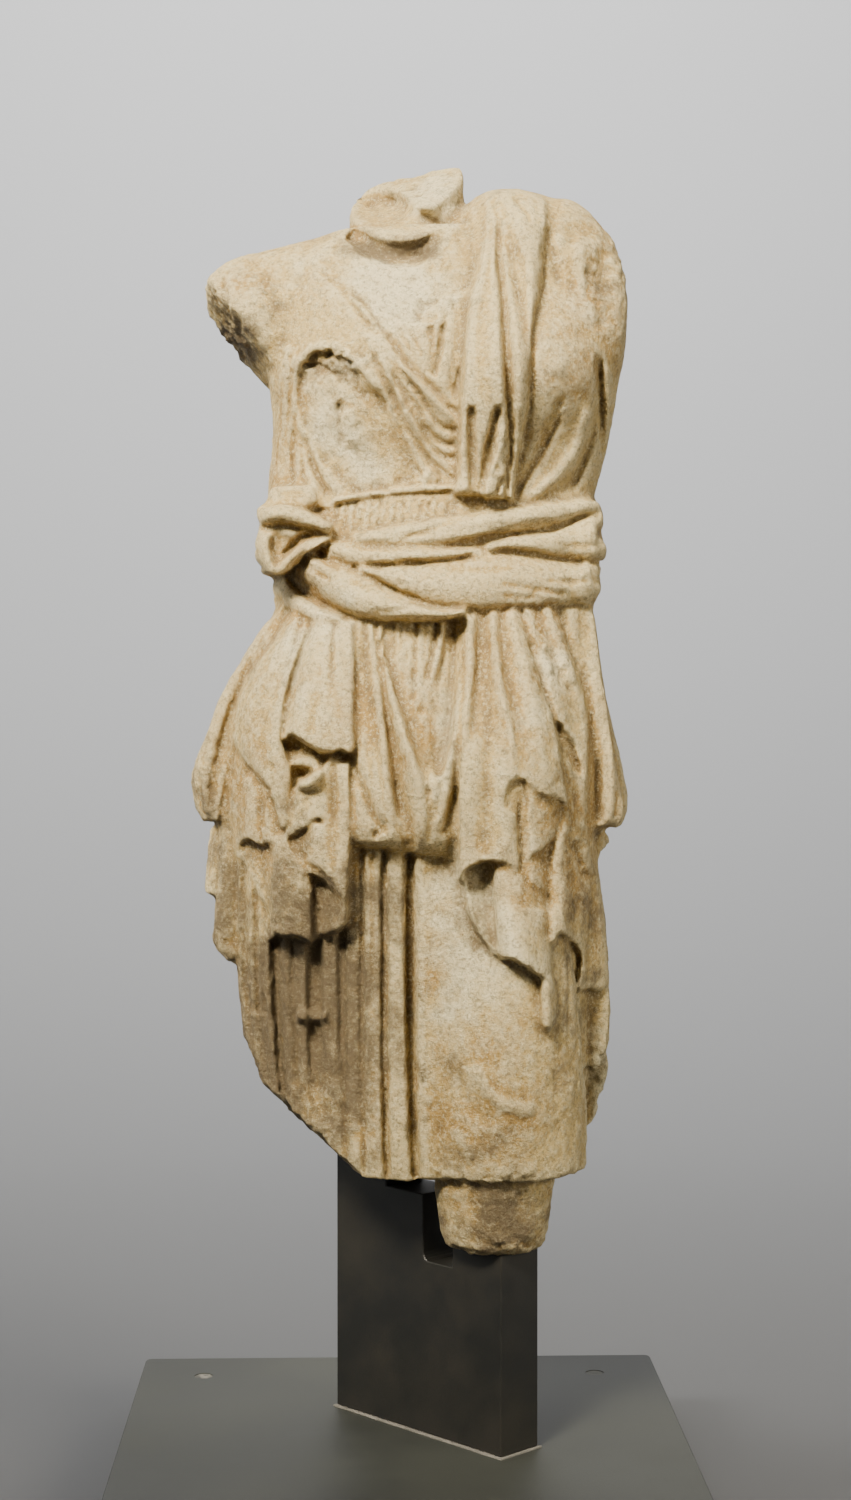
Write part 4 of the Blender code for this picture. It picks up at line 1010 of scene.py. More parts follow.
# %% Blouse
BLOUSE_EDGE = [(348, 600), (474, 600), (468, 680), (463, 740), (462, 800), (459, 857), (440, 856), (424, 855),
               (404, 853), (390, 850), (377, 848), (362, 848), (345, 846), (347, 790), (350, 700)]
BLOUSE_FOLDS = [
    [(352, 600, -6), (352, 675, -4), (353, 731, -1), (350, 768, 1), (347, 834, 9), (346, 850, -4)],
    [(358, 600, 6), (359, 675, 8), (362, 731, 11), (360, 790, 13), (356, 834, 13), (356, 850, 0)],
    [(363, 600, -4), (366, 656, 1), (369, 684, 4), (373, 722, 9), (370, 790, 13), (364, 834, 14),
     (364, 850, 1)],
    [(369, 600, 5), (374, 665, 10), (380, 712, 14), (385, 777, 17), (384, 834, 16), (382, 850, 2)],
    [(373, 600, -6), (379, 637, -5), (384, 665, -4), (387, 710, -3), (393, 749, -2), (399, 792, 0),
     (406, 815, 2), (412, 836, 6), (414, 852, 0)],
    [(377, 600, 4), (380, 637, 8), (390, 690, 13), (400, 721, 17), (413, 760, 21), (419, 790, 20),
     (421, 836, 16), (421, 852, 3)],
    [(379, 600, -7), (385, 648, -5), (394, 680, -4), (402, 706, -3), (412, 736, -2), (420, 758, 2),
     (429, 779, 12), (430, 800, 18), (430, 836, 16), (430, 853, 3)],
    [(392, 600, 0), (400, 650, 2), (408, 690, 2), (418, 730, -1), (427, 762, -1), (432, 782, 17),
     (433, 836, 15), (433, 853, 2)],
    [(438, 600, 0), (434, 660, 0), (433, 700, -5), (434, 740, -7), (436, 768, -5), (437, 784, 18),
     (437, 836, 14), (437, 853, 2)],
    [(452, 600, -4), (453, 660, -6), (452, 700, -9), (449, 735, -9), (443, 764, -6), (440, 784, 17),
     (440, 836, 13), (440, 854, 1)],
    [(467, 600, 2), (464, 665, 5), (458, 703, 11), (455, 731, 15), (449, 760, 18), (446, 784, 16),
     (446, 836, 11), (446, 854, 0)],
    [(474, 600, -8), (468, 700, -6), (463, 760, 0), (458, 790, 2), (452, 812, 3), (449, 834, 6),
     (449, 854, 0)],
    [(476, 600, -8), (470, 700, -6), (465, 760, 0), (461, 790, 0), (458, 812, 8), (457, 834, 9), (457, 855, -2)],
]

BLOUSE_LIFT = 1.35


def draw_blouse(sheet):
    sheet.cloth(BLOUSE_EDGE, raised(BLOUSE_FOLDS, BLOUSE_LIFT), 2.0)
    for line, width, depth in (
            ([(353, 757), (359, 778), (369, 806), (383, 836)], 7, 8),
            ([(366, 790), (375, 815), (388, 838)], 6, 5),
            ([(377, 720), (380, 760), (384, 800), (388, 840)], 6, 6),
            ([(394, 779), (397, 800), (400, 822)], 5, 6),
            ([(394, 820), (400, 836), (408, 848)], 6, 5),
            ([(428, 782), (430, 812), (428, 846)], 6, 7),
            ([(444, 775), (439, 800), (433, 824)], 6, 6),
            ([(392, 614), (394, 636), (394, 658)], 5, 7),
            ([(400, 614), (401, 634), (400, 654)], 4, 5),
            ([(408, 614), (408, 640), (407, 676)], 4, 4),
            ([(415, 614), (415, 650), (413, 704)], 5, 9),
            ([(425, 614), (425, 640), (423, 664)], 4, 4),
            ([(437, 614), (432, 650), (426, 684)], 5, 11),
            ([(448, 614), (444, 650), (437, 692)], 4, 6),
            ([(453, 614), (453, 640), (454, 676)], 4, 7),
            ([(402, 664), (410, 700), (424, 742)], 6, 4)):
        sheet.crease(line, width, depth)
    sheet.ridge([(445, 618), (440, 648), (430, 686)], 4, 6)
    sheet.slot([(459, 782), (450, 806), (443, 838)], (3, 4, 2.5), 7)
    sheet.swell((422, 708), 5, 9, -6)
    sheet.swell((403, 761), 4, 7, -5)
    sheet.swell((376, 834), 6, 7, -8)


# %% [markdown]
# Hanging ends of the mantle
# The two ends of the mantle hang beside the blouse in broken tails. Each tail is a cloth of its own that
# covers what was carved before it, lies close at the waist and stands well clear of the skirt at its hem.
# They are laid on from the back to the front, so that every edge casts its shadow on the cloth behind it.

# %% Left end of the mantle
def draw_left_end(sheet):
    # Cloth that turns back round the hip, seen beside the tail
    sheet.cloth([(300, 600), (286, 600), (262, 622), (240, 650), (222, 680), (200, 730), (190, 775), (205, 830),
                 (240, 826), (250, 790), (262, 770), (272, 700), (296, 640)],
                [[(286, 600, -2), (262, 624, -2), (242, 652, -2), (224, 684, -2), (204, 732, -2), (196, 776, -2),
                  (204, 830, -2)],
                 [(288, 600, 6), (268, 624, 6), (250, 652, 6), (234, 684, 5), (216, 740, 8), (206, 790, 8),
                  (208, 830, 6)],
                 [(290, 600, -8), (274, 640, -9), (252, 672, -8), (234, 704, -4), (219, 752, -2), (211, 800, 4),
                  (212, 830, 2)],
                 [(292, 600, 4), (280, 640, 4), (260, 676, 5), (243, 708, 7), (227, 760, 9), (217, 820, 8)],
                 [(294, 600, -8), (284, 646, -7), (266, 680, -7), (248, 710, -4), (232, 762, -2), (222, 820, -2)],
                 [(297, 600, 4), (290, 650, 4), (274, 690, 2), (256, 730, 4), (240, 770, 6), (230, 820, 4)],
                 [(300, 600, -4), (296, 660, -6), (282, 700, -8), (262, 750, -8), (250, 790, -8), (240, 826, -6)]],
                2.0)
    # Long outer tail
    sheet.cloth([(222, 806), (219, 859), (214, 906), (211, 941), (217, 952), (228, 963), (238, 963), (237, 859),
                 (239, 806)],
                [[(220, 806, -2), (217, 859, -2), (211, 941, -2), (216, 963, -2)],
                 [(227, 806, 6), (226, 859, 8), (222, 941, 10), (225, 963, 10)],
                 [(234, 806, 4), (233, 859, 6), (232, 941, 8), (233, 963, 8)],
                 [(238, 806, -6), (237, 859, -6), (238, 963, -6)]], 1.5)
    # Inside of the cloth between the outer tail and the block
    sheet.cloth([(232, 844), (246, 838), (262, 838), (272, 838), (272, 911), (263, 901), (256, 889), (250, 872),
                 (242, 861), (233, 853)],
                [[(232, 838, 8), (234, 856, 8), (250, 880, 6), (262, 912, 4)],
                 [(243, 838, -3), (246, 860, -3), (257, 888, 0), (266, 912, 2)],
                 [(262, 838, -4), (264, 880, -3), (270, 912, 0)],
                 [(272, 838, 3), (272, 912, 3)]], 1.3)
    # Pale tube and the strip beside it
    sheet.cloth([(234, 800), (240, 788), (248, 776), (263, 776), (263, 842), (252, 840), (245, 840), (239, 845),
                 (233, 853), (232, 826)],
                [[(234, 776, -3), (233, 820, 0), (232, 853, 2)], [(240, 776, 6), (239, 853, 10)],
                 [(249, 776, 12), (249, 853, 16)], [(259, 776, 8), (258, 853, 12)],
                 [(263, 776, 0), (262, 853, 4)]], 1.3)
    sheet.cloth([(261, 776), (273, 800), (284, 824), (284, 832), (276, 845), (268, 843), (261, 841)],
                [[(261, 776, 4), (261, 845, 8)], [(267, 776, 12), (268, 845, 16)],
                 [(276, 776, 8), (277, 845, 14)], [(286, 776, 2), (286, 845, 6)]], 1.3)
    # Rough block and the curled cloth beside it
    sheet.cloth([(307, 862), (322, 870), (334, 884), (347, 904), (346, 922), (336, 932), (322, 935), (309, 939)],
                [[(307, 850, 4), (308, 942, 4)], [(316, 850, -4), (320, 900, -2), (318, 942, 4)],
                 [(332, 850, 4), (334, 900, 6), (330, 942, 14)],
                 [(348, 850, 22), (348, 900, 24), (344, 925, 22), (336, 942, 20)]], 1.3)
    sheet.cloth([(271, 836), (308, 836), (310, 870), (313, 886), (312, 941), (304, 940), (295, 937), (286, 937),
                 (277, 934), (271, 932)],
                [[(271, 836, 18), (271, 942, 24)], [(280, 836, 22), (280, 942, 28)],
                 [(295, 836, 20), (296, 942, 26)], [(306, 836, 14), (308, 942, 20)],
                 [(313, 836, 6), (313, 942, 12)]], 1.3)
    sheet.cloth([(298, 856), (304, 862), (322, 868), (322, 878), (311, 874), (300, 866)],
                [[(296, 850, 16), (296, 880, 18)], [(322, 850, 20), (322, 880, 22)]], 1.2)
    # Second tier under the broken hem
    sheet.cloth([(292, 790), (347, 760), (347, 905), (333, 890), (318, 876), (303, 864), (288, 840)],
                [[(288, 750, 8), (288, 910, 12)], [(318, 750, 16), (318, 910, 20)],
                 [(347, 750, 14), (347, 910, 16)]], 1.5)
    sheet.cloth([(328, 750), (348, 750), (347, 906), (340, 897), (333, 884), (326, 874), (316, 866), (308, 860),
                 (306, 838), (312, 824), (328, 818)],
                [[(306, 750, 20), (306, 906, 22)], [(318, 750, 26), (320, 906, 30)],
                 [(329, 750, 20), (330, 800, 20), (331, 860, 26), (332, 906, 30)],
                 [(333, 750, 6), (332, 800, 8), (333, 830, 22), (334, 906, 30)],
                 [(340, 750, 20), (340, 800, 22), (341, 906, 30)], [(347, 750, 20), (347, 906, 26)]], 1.3)
    sheet.cloth([(300, 780), (318, 772), (328, 750), (329, 824), (320, 818), (311, 822), (303, 829), (289, 836),
                 (285, 830), (291, 806), (295, 790)],
                [[(284, 750, 10), (284, 836, 16)], [(300, 750, 22), (299, 836, 26)],
                 [(316, 750, 24), (318, 836, 30)], [(330, 750, 16), (330, 836, 22)]], 1.3)
    # Left wing of the big tail
    sheet.cloth([(292, 600), (291, 612), (281, 627), (262, 657), (247, 678), (239, 703), (234, 736), (242, 757),
                 (252, 770), (264, 782), (273, 800), (279, 820), (284, 830), (290, 813), (292, 790), (290, 762),
                 (283, 740), (289, 700), (296, 672), (306, 640), (318, 600)],
                [[(290, 600, 4), (281, 626, 6), (262, 657, 8), (246, 680, 8), (236, 712, 10), (238, 750, 12),
                  (256, 776, 16), (276, 816, 18), (282, 832, 18)],
                 [(300, 600, 14), (292, 632, 18), (272, 662, 20), (257, 690, 22), (250, 722, 23), (256, 760, 25),
                  (272, 790, 27), (283, 832, 25)],
                 [(305, 600, 0), (299, 632, 7), (287, 664, 14), (272, 700, 20), (266, 740, 24), (270, 780, 27),
                  (284, 832, 25)],
                 [(309, 600, 12), (304, 632, 17), (292, 664, 22), (281, 704, 25), (277, 740, 27), (281, 780, 27),
                  (287, 832, 22)],
                 [(315, 600, -4), (305, 640, 2), (295, 670, 6), (288, 700, 9), (283, 740, 14), (291, 770, 16),
                  (292, 832, 12)]], 1.5)
    # Hollow under the hem, with the folded ear in it
    sheet.cloth([(281, 740), (297, 736), (315, 748), (336, 750), (348, 750), (347, 764), (330, 758), (319, 772),
                 (304, 768), (292, 764)],
                [[(280, 730, -6), (280, 770, 2)], [(348, 730, -6), (348, 770, 4)]], 1.5)
    sheet.roll([(290, 764), (301, 762), (312, 764), (317, 772), (311, 782), (299, 786)], (4, 6, 7, 7, 7, 4), 15)
    sheet.slot([(296, 774), (306, 775)], 2.6, 9)
    # Middle of the big tail, in front of all
    sheet.cloth([(316, 600), (306, 640), (296, 672), (289, 700), (282, 741), (289, 736), (297, 737), (304, 742),
                 (312, 746), (320, 751), (330, 752), (342, 751), (350, 753), (355, 744), (356, 700), (354, 600)],
                [[(314, 600, -2), (305, 640, 4), (295, 672, 8), (288, 700, 12), (282, 741, 18), (281, 755, 18)],
                 [(320, 600, 14), (313, 640, 20), (308, 680, 24), (302, 710, 28), (298, 755, 32)],
                 [(333, 600, 12), (329, 640, 20), (327, 680, 26), (322, 720, 31), (320, 755, 33)],
                 [(335, 600, 0), (333, 640, 6), (331, 670, 18), (330, 700, 29), (329, 755, 33)],
                 [(338, 600, 13), (337, 640, 21), (337, 680, 27), (338, 755, 32)],
                 [(350, 600, 14), (351, 640, 21), (351, 700, 27), (350, 755, 30)],
                 [(355, 600, 0), (356, 640, 6), (356, 700, 12), (355, 755, 18)]], 1.5)
    sheet.ridge([(284, 740), (296, 739), (306, 744), (316, 750), (328, 753), (340, 751), (350, 752)], 3.5, 3)
    sheet.crease([(318, 690), (313, 715), (308, 738)], 9, 3)


# %% [markdown]
# Right end
# The other end hangs at her left side in the same way: first the cloth that wraps the hip, then the lowest
# sheet, then the strips seen through the gaps, and the main tail last, in front of all.

# %% Right end of the mantle
def draw_right_end(sheet):
    # Cloth at her left side
    sheet.cloth([(512, 600), (600, 600), (606, 640), (612, 690), (622, 760), (622, 800), (612, 834), (596, 832),
                 (600, 880), (608, 960), (606, 990), (588, 990), (578, 990), (582, 962), (577, 948), (568, 938),
                 (560, 935), (552, 942), (548, 880), (546, 850), (548, 800), (540, 700)],
                [[(512, 600, -6), (531, 648, -2), (545, 696, 0), (555, 725, 0), (560, 754, 4), (562, 800, 10),
                  (548, 846, 8), (548, 900, 12), (552, 990, 14)],
                 [(522, 600, 8), (541, 648, 12), (552, 684, 16), (561, 722, 14), (566, 754, 12), (568, 800, 16),
                  (561, 850, 26), (565, 900, 28), (566, 990, 28)],
                 [(534, 600, 0), (549, 643, 4), (560, 672, 8), (571, 704, 12), (577, 740, 10), (577, 790, 10),
                  (571, 840, 14), (574, 890, 16), (576, 990, 18)],
                 [(546, 600, 10), (560, 640, 14), (573, 672, 17), (584, 704, 18), (587, 744, 16), (585, 800, 14),
                  (582, 850, 12), (585, 900, 18), (584, 990, 20)],
                 [(556, 600, -2), (572, 653, 1), (586, 691, 3), (591, 720, 4), (591, 760, 2), (590, 820, 4),
                  (590, 860, 16), (592, 920, 19), (590, 990, 18)],
                 [(572, 600, 10), (582, 648, 12), (593, 680, 13), (597, 720, 12), (596, 780, -4), (597, 820, -2),
                  (596, 870, 14), (600, 940, 10), (598, 990, 8)],
                 [(594, 600, 2), (602, 640, 6), (608, 690, 8), (612, 740, 12), (611, 800, 12), (606, 835, 10),
                  (604, 880, 4), (608, 990, 0)],
                 [(602, 600, -4), (609, 640, -2), (616, 690, -2), (624, 760, -2), (622, 810, -2), (616, 880, -4),
                  (614, 990, -4)]], 2.0)
    sheet.slot([(556, 720), (568, 748), (582, 776)], (3, 8, 3), 14)
    sheet.crease([(560, 750), (572, 790), (588, 826)], 7, 6)
    sheet.crease([(573, 842), (580, 862), (590, 882)], 6, 8)
    sheet.crease([(546, 646), (560, 676), (576, 700)], 6, 4)
    sheet.roll([(599, 760), (600, 800), (603, 822)], 3, -5)
    # Lowest sheet: its shaded inside, then the long strip and its tip
    sheet.cloth([(458, 872), (466, 868), (480, 862), (494, 858), (497, 905), (499, 955), (486, 944), (473, 924),
                 (468, 908), (465, 892)],
                [[(457, 858, 18), (465, 903, 20), (475, 936, 22), (496, 958, 24)],
                 [(464, 858, 2), (472, 903, 4), (484, 930, 8), (497, 958, 12)],
                 [(482, 858, -2), (488, 920, 2), (498, 958, 8)],
                 [(495, 858, 4), (500, 958, 8)]], 1.4)
    sheet.cloth([(492, 856), (522, 862), (523, 876), (530, 883), (538, 886), (547, 886), (550, 936), (553, 984),
                 (545, 981), (536, 974), (523, 966), (512, 960), (501, 958), (497, 944), (495, 900)],
                [[(491, 856, 14), (496, 920, 18), (499, 985, 20)],
                 [(504, 856, 26), (508, 920, 30), (514, 985, 32)],
                 [(516, 856, 28), (522, 920, 32), (530, 985, 34)],
                 [(534, 856, 20), (537, 920, 24), (540, 985, 26)],
                 [(547, 856, 8), (550, 920, 10), (554, 985, 14)]], 1.4)
    sheet.cloth([(542, 979), (554, 981), (557, 1000), (556, 1024), (550, 1032), (543, 1027), (541, 1005)],
                [[(541, 975, 12), (541, 1035, 12)], [(548, 975, 22), (549, 1035, 20)],
                 [(557, 975, 10), (557, 1035, 8)]], 1.3)
    # The two strips seen through the gap beside the main tail
    sheet.cloth([(521, 846), (536, 852), (547, 846), (547, 889), (538, 887), (529, 882), (522, 874)],
                [[(521, 846, 18), (522, 890, 22)], [(532, 846, 24), (533, 890, 28)],
                 [(547, 846, 16), (547, 890, 18)]], 1.3)
    sheet.cloth([(520, 780), (530, 778), (545, 790), (568, 792), (566, 812), (561, 828), (554, 838), (546, 848),
                 (534, 854), (524, 858)],
                [[(521, 780, 20), (523, 860, 24)], [(532, 780, 27), (533, 860, 31)],
                 [(550, 780, 24), (546, 860, 28)], [(568, 780, 14), (560, 840, 16), (556, 860, 16)]], 1.3)
    sheet.cloth([(503, 776), (526, 772), (526, 872), (512, 864), (503, 830)],
                [[(502, 770, 26), (502, 875, 28)], [(514, 770, 24), (514, 875, 27)],
                 [(527, 770, 20), (527, 875, 24)]], 1.3)
    # Main tail, in front of all
    sheet.cloth([(460, 600), (517, 600), (531, 648), (545, 696), (555, 725), (561, 754), (567, 796), (566, 805),
                 (557, 797), (543, 795), (536, 788), (529, 783), (519, 777), (510, 783), (506, 794), (505, 806),
                 (511, 812), (518, 822), (519, 869), (510, 864), (495, 861), (478, 864), (467, 869), (458, 877),
                 (459, 792), (459, 754), (461, 708)],
                [[(460, 600, -2), (463, 672, 4), (460, 708, 9), (459, 754, 18), (458, 880, 24)],
                 [(470, 600, 12), (470, 672, 18), (466, 708, 22), (464, 754, 26), (464, 880, 30)],
                 [(480, 600, -4), (477, 672, 2), (473, 722, 12), (470, 756, 26), (471, 880, 32)],
                 [(486, 600, -2), (488, 672, 6), (488, 720, 14), (488, 756, 22), (488, 880, 33)],
                 [(492, 600, 12), (496, 660, 20), (502, 696, 26), (510, 730, 29), (512, 756, 30), (508, 820, 34),
                  (508, 880, 35)],
                 [(500, 600, -4), (504, 650, 4), (511, 690, 12), (519, 722, 22), (520, 756, 28), (516, 820, 30),
                  (515, 880, 33)],
                 [(508, 600, 12), (524, 655, 22), (531, 690, 27), (540, 730, 31), (545, 770, 33), (548, 812, 33)],
                 [(517, 600, -2), (531, 648, 8), (545, 696, 16), (556, 725, 22), (562, 754, 26), (568, 812, 28)]],
                1.5)
    sheet.slot([(519, 790), (520, 830), (521, 872)], 2.0, 9, 0.05)
    sheet.ridge([(496, 640), (502, 694), (512, 732), (514, 764)], 3, 4)
    sheet.ridge([(458, 876), (466, 869), (478, 864), (492, 861), (508, 863), (518, 868)], 3, 3)
    sheet.ridge([(508, 783), (518, 778), (530, 785), (544, 795), (562, 799)], 3, 3)
    sheet.crease([(488, 700), (487, 760), (484, 830)], 12, 3)


# %% [markdown]
# Sides and back
# The photograph doesn't show them, so they are finished plainly and in keeping: pleats that widen
# downwards, the waist roll going round, the hem of the bloused cloth, and the mantle crossing the back.

# %% Sides and back
SIDE_PLEATS = 22
WAIST_STRANDS = ((522, 20), (556, 22), (592, 22))
MANTLE_CREASES = (-36, -22, -8, 8, 24, 38)


def side_relief(points):
    x = points[:, 0]
    y = points[:, 1] - AXIS_Y
    angle = np.arctan2(x, y)
    down = SEAT_DOWN - (points[:, 2] - SEAT_Z) / MM
    # Pleats that grow downwards, with finer ones between them
    turns = angle / (2 * math.pi) * SIDE_PLEATS + 0.35 * np.sin(down / 90.0 + 2.0 * angle)
    valley = np.abs((turns % 1.0) - 0.5) * 2.0
    grown = smoothstep(600.0, 1000.0, down)
    rise = -13.0 * (0.3 + 0.7 * grown) * valley**2.2 * smoothstep(600.0, 660.0, down)
    finer = np.abs(((turns * 3.0 + 0.8 * np.sin(angle * 5.0)) % 1.0) - 0.5) * 2.0
    rise -= 2.4 * finer**2 * smoothstep(600.0, 660.0, down)
    # Three strands of the waist roll
    for middle, half in WAIST_STRANDS:
        off = (down - middle - 6.0 * np.sin(2.0 * angle + middle)) / half
        rise += 7.0 * np.clip(1.0 - off * off, 0.0, 1.0)**0.8
        strand = np.abs(((off + 1.3 * angle) % 0.8) - 0.4) * 2.5
        rise -= 2.5 * strand**3 * (np.abs(off) < 1)
    # Lower edge of the blouse
    hem = 868 + 18 * np.sin(3.0 * angle) + 9 * np.sin(7.0 * angle + 1.0)
    rise += 12.0 * smoothstep(hem - 160, hem - 20, down) * (1.0 - smoothstep(hem - 2, hem + 4, down))
    # The mantle crosses the back on a slant, with gathered cloth beside it
    lean = x / MM - 150 + (down - 200) * 0.62
    above_waist = smoothstep(214, 250, down) * (1.0 - smoothstep(500, 516, down))
    rise += 10.0 * (1.0 - smoothstep(46, 54, np.abs(lean))) * above_waist
    for number, shift in enumerate(MANTLE_CREASES):
        curved = lean - shift - 6 * np.sin(down / 60.0 + number)
        rise -= 6.0 * np.clip(1.0 - np.abs(curved) / 8.0, 0.0, 1.0)**1.5 * above_waist
    gathered = np.abs(((x / MM + 0.1 * (down - 300)) / 17.0 % 1.0) - 0.5) * 2.0
    rise -= 3.0 * gathered**2 * above_waist * smoothstep(400, 500, down)
    return rise


# %% [markdown]
# Weathering
# Centuries in the ground have roughened the stone. The wear is a sum of smooth random patterns of several
# sizes: the whole skin gets a little of it, and the listed breaks and worn edges get much more.

# %% Weathering
def grain(points, size, seed):
    """Smooth random values from -1 to 1, about one lump for each size."""
    rng = np.random.default_rng(seed)
    table = rng.uniform(-1.0, 1.0, 4096)
    p = points / size
    cell = np.floor(p).astype(np.int64)
    t = p - cell
    t = t * t * (3.0 - 2.0 * t)
    total = np.zeros(len(points))
    for dx in (0, 1):
        for dy in (0, 1):
            for dz in (0, 1):
                key = ((cell[:, 0] + dx) * 73856093 ^ (cell[:, 1] + dy) * 19349663
                       ^ (cell[:, 2] + dz) * 83492791) % 4096
                weight = (np.where(dx, t[:, 0], 1 - t[:, 0]) * np.where(dy, t[:, 1], 1 - t[:, 1])
                          * np.where(dz, t[:, 2], 1 - t[:, 2]))
                total += weight * table[key]
    return total


def board_places(points):
    share = EYE_DISTANCE / (points[:, 1] - EYE[1])
    across = EYE_ACROSS + (points[:, 0] - EYE[0]) * share / MM
    down = EYE_DOWN + (EYE[2] - points[:, 2]) * share / MM
    return across, down


def facing(points, normals):
    to_eye = EYE - points
    to_eye /= np.linalg.norm(to_eye, axis=1)[:, None]
    return to_eye, np.einsum("ij,ij->i", normals, to_eye)


# %% [markdown]
# Carving
# Every point that faces the eye is moved towards it by the drawing's rise, and every other point is moved
# along its normal by the side relief. A band where the surface turns away blends the two, so that no step
# shows at the outline. The carved skin is fused once more, to even out the faces that were stretched.

# %% Carve
TURNING_TO_EYE = (0.02, 0.20)
TURNING_UP = (0.55, 0.9)


def carve(piece):
    points, normals = points_of(piece), normals_of(piece)
    to_eye, front = facing(points, normals)
    front = smoothstep(*TURNING_TO_EYE, front)
    level = 1.0 - smoothstep(*TURNING_UP, np.abs(normals[:, 2]))
    sheet = Drawing(*board_places(points))
    for draw in (draw_body_forms, draw_neck, draw_bodice, draw_mantle, draw_lower_skirt, draw_blouse,
                 draw_left_end, draw_right_end, draw_waist):
        draw(sheet)
        print(f"{draw.__name__} leaves a rise from {sheet.rise.min():.1f} to {sheet.rise.max():.1f} mm")
    moved = points + to_eye * (sheet.rise * front * MM)[:, None]
    moved += normals * (side_relief(points) * (1.0 - front) * level * MM)[:, None]
    put_points(piece, moved)


BREAKS = [
    # across, down, width, height, roughness
    (230, 340, 26, 40, 3.2), (400, 196, 52, 26, 1.8), (606, 268, 24, 50, 2.2), (222, 288, 20, 20, 1.6),
    (495, 1250, 70, 16, 2.4), (500, 1184, 90, 12, 1.6), (300, 1120, 70, 40, 1.8), (262, 1000, 24, 80, 1.2),
    (334, 364, 38, 16, 4.0), (345, 430, 34, 50, 1.0), (604, 1080, 14, 50, 2.2), (525, 650, 30, 30, 0.9),
    (558, 670, 24, 50, 1.2), (228, 945, 16, 24, 1.8), (207, 780, 16, 34, 1.4), (290, 920, 24, 30, 1.3),
    (316, 744, 40, 12, 1.0), (500, 1100, 90, 90, 0.5), (426, 318, 18, 12, 1.0), (505, 460, 16, 50, 1.0),
]

EVEN_WEAR = 0.6
PATCHY_WEAR = 0.5
WEAR_PATCHES = (0.07, 3)
# height in millimetres, size in metres, random seed
LUMPS = ((0.7, 0.016, 11), (0.65, 0.008, 12), (0.55, 0.0045, 13))


def weather(piece):
    points, normals = points_of(piece), normals_of(piece)
    across, down = board_places(points)
    rough = EVEN_WEAR + PATCHY_WEAR * smoothstep(0.1, 0.7, grain(points, *WEAR_PATCHES))
    for break_across, break_down, width, height, strength in BREAKS:
        off = ((across - break_across) / width)**2 + ((down - break_down) / height)**2
        rough += strength * np.exp(-off)
    rise = sum(height * grain(points, size, seed) for height, size, seed in LUMPS)
    put_points(piece, points + normals * (rise * rough * MM)[:, None])


carve(figure)
fuse(figure, FINISHING_STEP)
put_points(figure, soften(figure, 1))
weather(figure)
print("carved skin:", len(figure.data.vertices), "points")

# %% [markdown]
# Colour guides
# Old marble is dark where earth stayed in the folds and pale where it was rubbed, and here the folds are also
# darkened as painted shade, the more the deeper they lie. The difference between the skin and a softened
# copy of it tells hollows from ridges. It is kept on the mesh, next to two painted patterns, one of cleaned
# places and one of stains mixed with painted shade, and the material reads all three.

# %% Colour guides on the figure
CLEANED = [
    # across, down, width, height, strength
    (400, 290, 60, 30, 0.40), (440, 200, 34, 26, 0.28), (350, 430, 44, 56, 0.22), (475, 930, 70, 80, 0.28),
    (300, 690, 50, 60, 0.16), (330, 300, 60, 40, 0.12), (560, 380, 50, 60, 0.14), (326, 690, 26, 60, 0.18),
    (445, 720, 16, 60, 0.25), (540, 680, 50, 60, 0.14), (320, 600, 60, 26, 0.14), (560, 300, 30, 60, 0.06),
    (600, 1090, 16, 60, 0.35), (480, 1010, 60, 60, 0.18),
]
# Stains with painted shade among them: the arm's broken face, which turns down and away from the key light, the
# band under the neck's broken rim, the stub under the hem and the pleats beside the thigh are darkened partly as
# painted shade and partly as stain.
STAINS_AND_PAINTED_SHADE = [
    (250, 300, 50, 46, 0.10), (606, 270, 24, 50, 0.16), (310, 1010, 92, 150, 0.44), (395, 250, 56, 14, 0.34),
    (500, 1225, 60, 44, 0.32), (225, 900, 24, 80, 0.28), (210, 780, 20, 50, 0.18), (330, 372, 36, 14, 0.16),
    (500, 1160, 90, 40, 0.14), (232, 350, 24, 30, 0.50), (290, 900, 40, 50, 0.22), (570, 950, 40, 120, 0.14),
    (480, 920, 30, 50, 0.14), (250, 650, 30, 60, 0.12),
]

FINE_ROUNDS, BROAD_ROUNDS = 14, 120
LEVEL_STONE, FINE_SHARE, BROAD_SHARE = 0.42, 0.38, 0.11


def keep(piece, name, values):
    piece.data.attributes.new(name, "FLOAT", "POINT").data.foreach_set("value", values.astype(np.float32))


def add_guides(piece):
    """Per-point values for the stone's colour: how deep in a fold a point lies, which drives painted shade and
    earth in the folds, and painted patches of cleaned stone and of stains mixed with painted shade.
    """
    points, normals = points_of(piece), normals_of(piece)
    across, down = board_places(points)
    fine = np.einsum("ij,ij->i", points - soften(piece, FINE_ROUNDS), normals) / MM
    broad = np.einsum("ij,ij->i", points - soften(piece, BROAD_ROUNDS), normals) / MM
    hollow = np.clip(LEVEL_STONE - FINE_SHARE * fine - BROAD_SHARE * broad, 0.0, 1.0)

    def spots(places):
        value = np.zeros(len(points))
        for spot_across, spot_down, width, height, strength in places:
            off = ((across - spot_across) / width)**2 + ((down - spot_down) / height)**2
            value = np.maximum(value, strength * np.exp(-off))
        return value

    keep(piece, "hollow", hollow)
    keep(piece, "cleaned", spots(CLEANED))
    keep(piece, "stain_and_shade_spots", spots(STAINS_AND_PAINTED_SHADE))
    print("hollow", round(float(hollow.mean()), 3))


add_guides(figure)

# %% [markdown]
# Fewer faces
# Even faces are right for carving but wasteful on the smooth parts. Decimate collapses them where the
# surface is flat and keeps them where it bends.

# %% Thin out the faces
FRONT_TRIANGLES = 158000
BACK_TRIANGLES = 34000
EDGE_OF_SIGHT = -0.05


